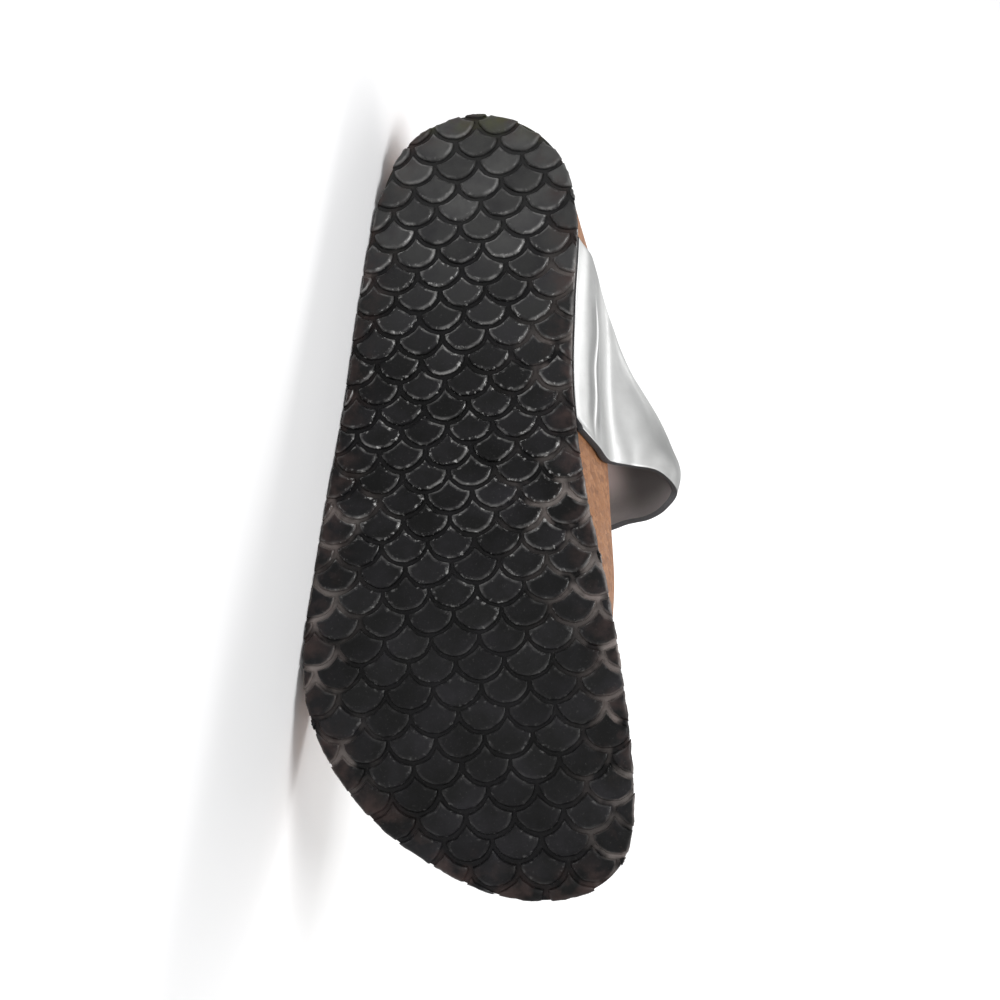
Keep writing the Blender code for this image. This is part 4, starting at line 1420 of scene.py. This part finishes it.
def soften_rims(bm):
    """Bevels the edges where a cut wall meets the outer or the inner face."""
    rims = []
    for edge in bm.edges:
        if sum(face.material_index == CUT_EDGE for face in edge.link_faces) == 1:
            rims.append(edge)
    bmesh.ops.bevel(
        bm,
        geom=rims,
        offset=SOFT_EDGE * MM,
        offset_type="OFFSET",
        segments=2,
        profile=0.5,
        affect="EDGES",
        material=-1,
    )


def layered_strap(name, bm):
    """A strap piece from a sheet: silver outside, a dark cut edge and felt inside."""
    outside = list(bm.faces)
    sheet = bm.verts[:] + bm.edges[:] + bm.faces[:]
    made = bmesh.ops.extrude_face_region(bm, geom=sheet, use_keep_orig=True)["geom"]
    layers = [bm.verts.layers.float[layer] for layer in UNDER]
    for vert in (part for part in made if isinstance(part, bmesh.types.BMVert)):
        vert.co = [vert[layer] for layer in layers]
    for face in bm.faces:
        face.material_index = CUT_EDGE
    for face in outside:
        face.material_index = SILVER
    for face in (part for part in made if isinstance(part, bmesh.types.BMFace)):
        face.material_index = FELT
    for layer in UNDER:
        bm.verts.layers.float.remove(bm.verts.layers.float[layer])
    bmesh.ops.recalc_face_normals(bm, faces=bm.faces)
    soften_rims(bm)
    return mesh_piece(name, bm, STRAP_FINISHES)


print("soft edge of the cut:", SOFT_EDGE, "mm")

# %% [markdown]
# The upper is laid on the strap's surface, with its rows closer together at the crease and at the
# punched end. Its lower end is skived, which means thinned, where it meets the sole, and its tongue is
# cut round. Holes are punched by taking out the faces inside each circle and drawing the rim of the
# hole round, before the sheet gets its layers.

# %% Upper
UPPER_LAST_ROW = 23.0
UPPER_ROW_STEPS = (
    # from row, to row, steps
    (0.0, 0.7, 7),
    (0.7, 1.8, 48),
    (1.8, 2.7, 9),
    (2.7, 16.5, 120),
    (16.5, UPPER_LAST_ROW, 89),
)
SKIVED_SHARE = 0.2
SKIVED_ROWS = 1.1
UNSKIVED_FRONT = (0.93, 0.995)
TONGUE_MIDDLE = 68.5
TONGUE_RADIUS = 5.6
TONGUE_CENTRE = 193.4
HOLE_RADIUS = 1.5
HOLE_ROWS = (17.6, 18.5, 19.4, 20.6)


def punch_hole(bm, centre, out):
    """Takes the faces inside a circle out of a sheet and draws the hole's rim round."""
    radius = HOLE_RADIUS * MM
    near = [face for face in bm.faces if (face.calc_center_median() - centre).length < radius]
    rim = {vert for face in near for vert in face.verts}
    bmesh.ops.delete(bm, geom=near, context="FACES")
    for vert in rim:
        if vert.is_valid:
            spoke = vert.co - centre
            height = out * spoke.dot(out)
            flat = spoke - height
            vert.co = centre + height + flat.normalized() * radius
            inner = vert.co - out * STRAP_THICKNESS * MM
            for name, value in zip(UNDER, inner):
                vert[bm.verts.layers.float[name]] = value


def scene_direction(direction):
    return Vector((direction[0], direction[2], direction[1]))


def round_the_tongue(places):
    """Cuts the front edge of the tongue to a round tip."""
    along, across = places[:, -1, 0], places[:, -1, 1]
    aside = np.clip(np.abs(across - TONGUE_MIDDLE) / TONGUE_RADIUS, 0, 1)
    reach = TONGUE_CENTRE + TONGUE_RADIUS * np.sqrt(1 - aside**2)
    places[:, -1, 0] = np.where(along > TONGUE_CENTRE, np.minimum(along, reach), along)


def upper_faces(rows):
    """The outer and the inner face of the upper, and its marks."""
    row, share = rows[:, None], SHARES[None, :]
    places = upper_surface(rows)
    places = places + surface_normals(places) * strap_swells(row, share)[..., None]
    round_the_tongue(places)
    out = calm_normals(places)
    full = np.maximum(smooth_step(row, 0.0, SKIVED_ROWS), smooth_step(share, *UNSKIVED_FRONT))
    skive = SKIVED_SHARE + (1 - SKIVED_SHARE) * full
    relief = strap_relief(row, share) - STRAP_THICKNESS * (1 - skive)
    return places + out * relief[..., None], places - out * STRAP_THICKNESS, strap_marks(row, share)


def make_upper():
    steps = [np.linspace(*stretch, endpoint=False) for stretch in UPPER_ROW_STEPS]
    rows = np.concatenate([*steps, [UPPER_LAST_ROW]])
    outer, inner, marks = upper_faces(rows)
    bm = strap_sheet(outer, inner, **marks)
    for hole_row in HOLE_ROWS:
        here, _, out = upper_spot(hole_row)
        punch_hole(bm, shoe_point(*here), scene_direction(out))
    return layered_strap("strap_upper", bm)


upper = make_upper()
dress(upper, "upper")

# %% [markdown]
# A short second strap is glued to the outer cork wall and folded round the buckle's hinge bar. It is
# made as the first one is: rows of places, a smooth surface, and the same three layers. Its rows are
# spaced by the length of strap between them, so that the small loop bends as evenly as the wall.

# %% Buckle strap
BUCKLE_STRAP_WALL_ROWS = (
    # wall_share, stand_off, back_along, front_along
    (0.02, 0.3, 70.0, 124.0),
    (0.33, 0.35, 72.5, 121.5),
    (0.64, 0.4, 75.5, 118.0),
    (0.98, 0.5, 79.5, 113.5),
)
BUCKLE_STRAP_FOLDS = (
    # across, up, back_along, front_along
    (5.6, 34.5, 84.0, 108.5),
    (8.7, 39.8, 86.4, 105.8),
)
BUCKLE_STRAP_STEPS = 105
BUCKLE_ROW = 19.5
HEEL_BAR_BELOW = 5.4
HEEL_BAR_DOWN = 6.5
FRONT_BAR_ABOVE = 2.9
FRONT_BAR_UP = 6.5
LOOP_RADIUS = 3.6
LOOP_ANGLES = (150.0, 119.0, 88.0, 57.0, 26.0, -5.0, -35.0)
LOOP_TURN_BACK = 5.0
LOOP_HALF_WIDTH = 9.6
LOOP_THICKNESS = 2.0


def buckle_bars():
    """Centres of the hinge bar and the front bar, and the strap's directions at the buckle."""
    here, run, out = upper_spot(BUCKLE_ROW)
    middle = here - out * STRAP_THICKNESS / 2
    heel_bar = middle + run * HEEL_BAR_DOWN - out * HEEL_BAR_BELOW
    return heel_bar, middle - run * FRONT_BAR_UP + out * FRONT_BAR_ABOVE, run, out


def buckle_strap_rows():
    """Rows of places up the wall, over the folds, round the hinge bar and a little way back."""
    rows = [
        wall_row(LATERAL, share, back, front, stand_off + LOOP_THICKNESS)
        for share, stand_off, back, front in BUCKLE_STRAP_WALL_ROWS
    ]
    flat = np.ones_like(SHARES)
    for across, up, back, front in BUCKLE_STRAP_FOLDS:
        rows.append(np.stack([back + (front - back) * SHARES, flat * across, flat * up], axis=-1))
    heel_bar = buckle_bars()[0]
    along = heel_bar[0] + LOOP_HALF_WIDTH * (2 * SHARES - 1)
    for angle in np.radians(LOOP_ANGLES):
        across = heel_bar[1] + LOOP_RADIUS * math.cos(angle)
        up = heel_bar[2] + LOOP_RADIUS * math.sin(angle)
        rows.append(np.stack([along, flat * across, flat * up], axis=-1))
    run = (rows[-1] - rows[-2]) / np.linalg.norm(rows[-1][0] - rows[-2][0])
    return rows + [rows[-1] + run * LOOP_TURN_BACK]


def make_buckle_strap():
    rows = buckle_strap_rows()
    steps = np.linalg.norm(np.diff(np.array(rows)[:, STRAP_COLUMNS // 2], axis=0), axis=1)
    length = np.concatenate([[0.0], np.cumsum(steps)])
    outer = curve_through(length, rows)(np.linspace(0, length[-1], BUCKLE_STRAP_STEPS))
    outer = outer.reshape(-1, STRAP_COLUMNS + 1, 3)
    inner = outer + calm_normals(outer) * LOOP_THICKNESS
    print("buckle strap length:", round(length[-1], 1), "mm")
    return layered_strap("buckle_strap_folded", strap_sheet(outer, inner))


buckle_strap = make_buckle_strap()
dress(buckle_strap, "buckle_strap")

# %% [markdown]
# The buckle's metal is plain, with a satin finish: fine lines from polishing and a trace of tarnish. A
# wire is a round section swept along a path. A curve with a bevel does this, and it is turned into a
# mesh, so that it is a piece like the others.

# %% Satin wire
WIRE_MERGE = 0.000001
WIRE_RESOLUTION = 5
POLISH_STRETCH = (0.12, 1.0, 1.0)


def metal_finish():
    metal = Finish("satin_metal")
    brushed = metal.noise(0.6, detail=4.0, rough=0.7, place=metal.stretched(POLISH_STRETCH))
    tarnish = metal.noise(5.0, detail=4.0, seed=3.0)
    base = metal.ramp(tarnish, (0.35, (0.500, 0.495, 0.485)), (0.65, (0.640, 0.640, 0.640)))
    rough = metal.spread(brushed, 0.3, 0.7, 0.24, 0.40)
    normal = metal.bump(brushed, 0.03, strength=0.3)
    return metal.set(Base_Color=base, Roughness=rough, Normal=normal, Metallic=1.0)


METAL = metal_finish()


def wire(name, spots, radius, closed=False, tip=1.0):
    """A round wire along a path of places, as a mesh piece."""
    curve = bpy.data.curves.new(name + "_path", "CURVE")
    curve.dimensions = "3D"
    curve.bevel_depth = radius * MM
    curve.bevel_resolution = WIRE_RESOLUTION
    curve.use_fill_caps = not closed
    spline = curve.splines.new("POLY")
    spline.points.add(len(spots) - 1)
    for point, spot in zip(spline.points, spots):
        point.co = (*shoe_point(*spot), 1.0)
    spline.points[-1].radius = tip
    spline.use_cyclic_u = closed
    path = bpy.data.objects.new(name + "_path", curve)
    bpy.context.scene.collection.objects.link(path)
    bpy.context.view_layer.update()
    swept = path.evaluated_get(bpy.context.evaluated_depsgraph_get())
    bm = bmesh.new()
    bm.from_mesh(swept.to_mesh())
    swept.to_mesh_clear()
    bpy.data.objects.remove(path)
    bmesh.ops.remove_doubles(bm, verts=bm.verts, dist=WIRE_MERGE)
    bmesh.ops.recalc_face_normals(bm, faces=bm.faces)
    return mesh_piece(name, bm, [METAL])


print("made finish:", METAL.name)

# %% [markdown]
# The frame is one closed bend of wire, with the hinge bar in the folded strap and the front bar over
# the strap end. The pin starts at the hinge bar, comes up through a punched hole and rests on the front
# bar. Both take their places from the strap, so they fit it wherever it lies.

# %% Buckle
BUCKLE_WIRE_RADIUS = 1.3
BUCKLE_HALF_WIDTH = 12.2
BUCKLE_CORNER_RADIUS = 3.0
BUCKLE_CORNER_STEPS = 10
PRONG_RADIUS = 0.9
PRONG_HOLE_ROW = 19.4
PRONG_UNDER = 0.2
PRONG_IN_HOLE = 0.5
PRONG_RISE = 0.8
PRONG_LEAN = 0.6
PRONG_END = 2.6
PRONG_STEPS = 41
PRONG_TIP = 0.7


def rounded_corners(corners):
    """The corners of a closed path, each replaced by a short bend of points."""
    points = []
    for k, corner in enumerate(corners):
        before = corners[k - 1] - corner
        after = corners[(k + 1) % len(corners)] - corner
        start = corner + before / np.linalg.norm(before) * BUCKLE_CORNER_RADIUS
        end = corner + after / np.linalg.norm(after) * BUCKLE_CORNER_RADIUS
        for t in np.linspace(0, 1, BUCKLE_CORNER_STEPS + 1):
            points.append(start * (1 - t) ** 2 + corner * 2 * t * (1 - t) + end * t**2)
    return points


def make_buckle_frame():
    heel_bar, front_bar, _, _ = buckle_bars()
    side = np.array((BUCKLE_HALF_WIDTH, 0.0, 0.0))
    corners = [heel_bar - side, heel_bar + side, front_bar + side, front_bar - side]
    return wire("buckle_wire", rounded_corners(corners), BUCKLE_WIRE_RADIUS, closed=True)


def make_prong():
    heel_bar, front_bar, run, out = buckle_bars()
    hole, _, hole_out = upper_spot(PRONG_HOLE_ROW)
    under = hole - hole_out * (STRAP_THICKNESS + PRONG_RADIUS + PRONG_UNDER)
    hinge = under - heel_bar
    start = heel_bar + hinge / np.linalg.norm(hinge) * (LOOP_RADIUS - LOOP_THICKNESS)
    in_hole = hole - hole_out * PRONG_IN_HOLE
    rise = hole + hole_out * (PRONG_RADIUS + PRONG_RISE) - run * PRONG_LEAN
    rest = front_bar + out * (BUCKLE_WIRE_RADIUS + PRONG_RADIUS + GAP)
    spots = [start, under, in_hole, rise, rest, rest - run * PRONG_END]
    bend = curve_through(range(len(spots)), spots)
    path = bend(np.linspace(0, len(spots) - 1, PRONG_STEPS))
    return wire("buckle_pin", path, PRONG_RADIUS, tip=PRONG_TIP)


buckle_frame = make_buckle_frame()
dress(buckle_frame, "buckle_frame")
prong = make_prong()
dress(prong, "buckle_prong")

# %% [markdown]
# The toe post is a soft oval stem that goes through liner and cork, waisted where the toes hold it
# and wider where the tongue of the strap is fixed on it. It is covered in the strap's silver film. A
# few sections with a smooth curve through them make it, and its top slopes as the tongue does.

# %% Toe post
POST_ALONG = 192.5
POST_ACROSS = 68.4
POST_TOP = 38.0
POST_TOP_SLOPE = -0.7
POST_SEATED = 0.7
POST_SIDES = 40
POST_STEPS = 32
POST_SLOPE_START = 24
POST_FLOOR = float(FOOTBED_CURVE(POST_ALONG)[0, 0])
POST_SECTIONS = (
    # up, half length along, half width across
    (float(outsole_top(POST_ALONG)) + 0.6, 5.0, 3.2),
    (POST_FLOOR + 4.0, 5.0, 3.2),
    (POST_FLOOR + 8.0, 4.2, 2.8),
    (POST_TOP - 5.0, 4.4, 3.0),
    (POST_TOP + POST_SEATED, 5.2, 3.6),
)


def make_toe_post():
    stem = curve_through(range(len(POST_SECTIONS)), POST_SECTIONS)
    turn = np.linspace(0, 2 * np.pi, POST_SIDES + 1)
    rings = []
    for number, (up, long, wide) in enumerate(stem(np.linspace(0, len(POST_SECTIONS) - 1, POST_STEPS + 1))):
        along = long * np.cos(turn)
        across = wide * np.sin(turn)
        slope = POST_TOP_SLOPE * along * smooth_step(number, POST_SLOPE_START, POST_STEPS)
        rings.append(np.stack([POST_ALONG + along, POST_ACROSS + across, up + slope], axis=-1))
    return mesh_piece("toe_post_stem", closed_grid(np.array(rings)), [STRAP_FINISHES[SILVER]])


toe_post = make_toe_post()
dress(toe_post, "toe_post")

# %% [markdown]
# The stage is a wide pale floor that curves up behind the shoe, like a sheet of paper in a studio. A
# curve instead of a corner leaves no line behind the shoe.

# %% Floor
FLOOR_HALF = 8.0
FLOOR_STEPS = 160
SWEEP_START = 0.8
SWEEP_RADIUS = 0.9
SWEEP_LAID_END = 2.31
SWEEP_QUARTER = SWEEP_RADIUS * math.pi / 2


def make_stage():
    paper = Finish("pale_paper")
    shade = paper.noise(300.0, detail=2.0)
    tone = paper.ramp(shade, (0.3, (0.86, 0.86, 0.87)), (0.7, (0.89, 0.89, 0.89)))
    material = paper.set(Base_Color=tone, Roughness=0.9)
    bm = bmesh.new()
    bmesh.ops.create_grid(bm, x_segments=2, y_segments=FLOOR_STEPS, size=FLOOR_HALF)
    for vert in bm.verts:
        laid = (vert.co.y + FLOOR_HALF) / (2 * FLOOR_HALF) * (FLOOR_HALF + SWEEP_LAID_END)
        past = laid - FLOOR_HALF - SWEEP_START
        vert.co.y = laid - FLOOR_HALF
        if past > 0:
            angle = min(past / SWEEP_RADIUS, math.pi / 2)
            vert.co.y = SWEEP_START + SWEEP_RADIUS * math.sin(angle)
            vert.co.z = SWEEP_RADIUS * (1 - math.cos(angle)) + max(0.0, past - SWEEP_QUARTER)
    return mesh_piece("floor_sweep", bm, [material])


floor = make_stage()
print("stage piece:", floor.name)

# %% [markdown]
# Four soft lamps light it. The one overhead rakes over the upright sole, so each groove has a lit lip
# and a dark one. A low fill from the camera's side opens the shadows, a narrow strip behind draws a
# highlight along the silver strap, and a wash whitens the backdrop that the camera sees. An even world
# adds the soft light of a bright room.

# %% Light
LAMPS = (
    # name, place, aim, size, power
    ("overhead", (-0.06, -0.40, 0.80), (0.0, 0.0, 0.05), (0.45, 0.35), 4.6),
    ("low_fill", (0.70, -1.75, 0.75), (0.0, 0.0, 0.06), (1.2, 0.8), 6.4),
    ("strip_behind", (-0.38, 0.66, 1.00), (0.0, 0.0, 0.08), (0.70, 0.10), 1.8),
    ("backdrop_wash", (-0.35, 0.70, 1.2), (-0.35, 1.5, 0.15), (1.8, 0.4), 19.0),
)
WORLD_COLOUR = (1.0, 1.0, 1.0, 1.0)
WORLD_STRENGTH = 0.42


def soft_light(name, place, aim, size, power):
    lamp = bpy.data.lights.new(name, "AREA")
    lamp.shape = "RECTANGLE"
    lamp.size, lamp.size_y = size
    lamp.energy = power
    light = bpy.data.objects.new(name, lamp)
    light.location = place
    light.rotation_euler = (Vector(aim) - Vector(place)).to_track_quat("-Z", "Y").to_euler()
    bpy.context.scene.collection.objects.link(light)


for lamp_row in LAMPS:
    soft_light(*lamp_row)
world = bpy.data.worlds.new("studio")
bpy.context.scene.world = world
world.use_nodes = True
background = world.node_tree.nodes["Background"]
background.inputs["Color"].default_value = WORLD_COLOUR
background.inputs["Strength"].default_value = WORLD_STRENGTH
bpy.context.scene.view_settings.view_transform = "Standard"
print("lamps:", [lamp_row[0] for lamp_row in LAMPS])
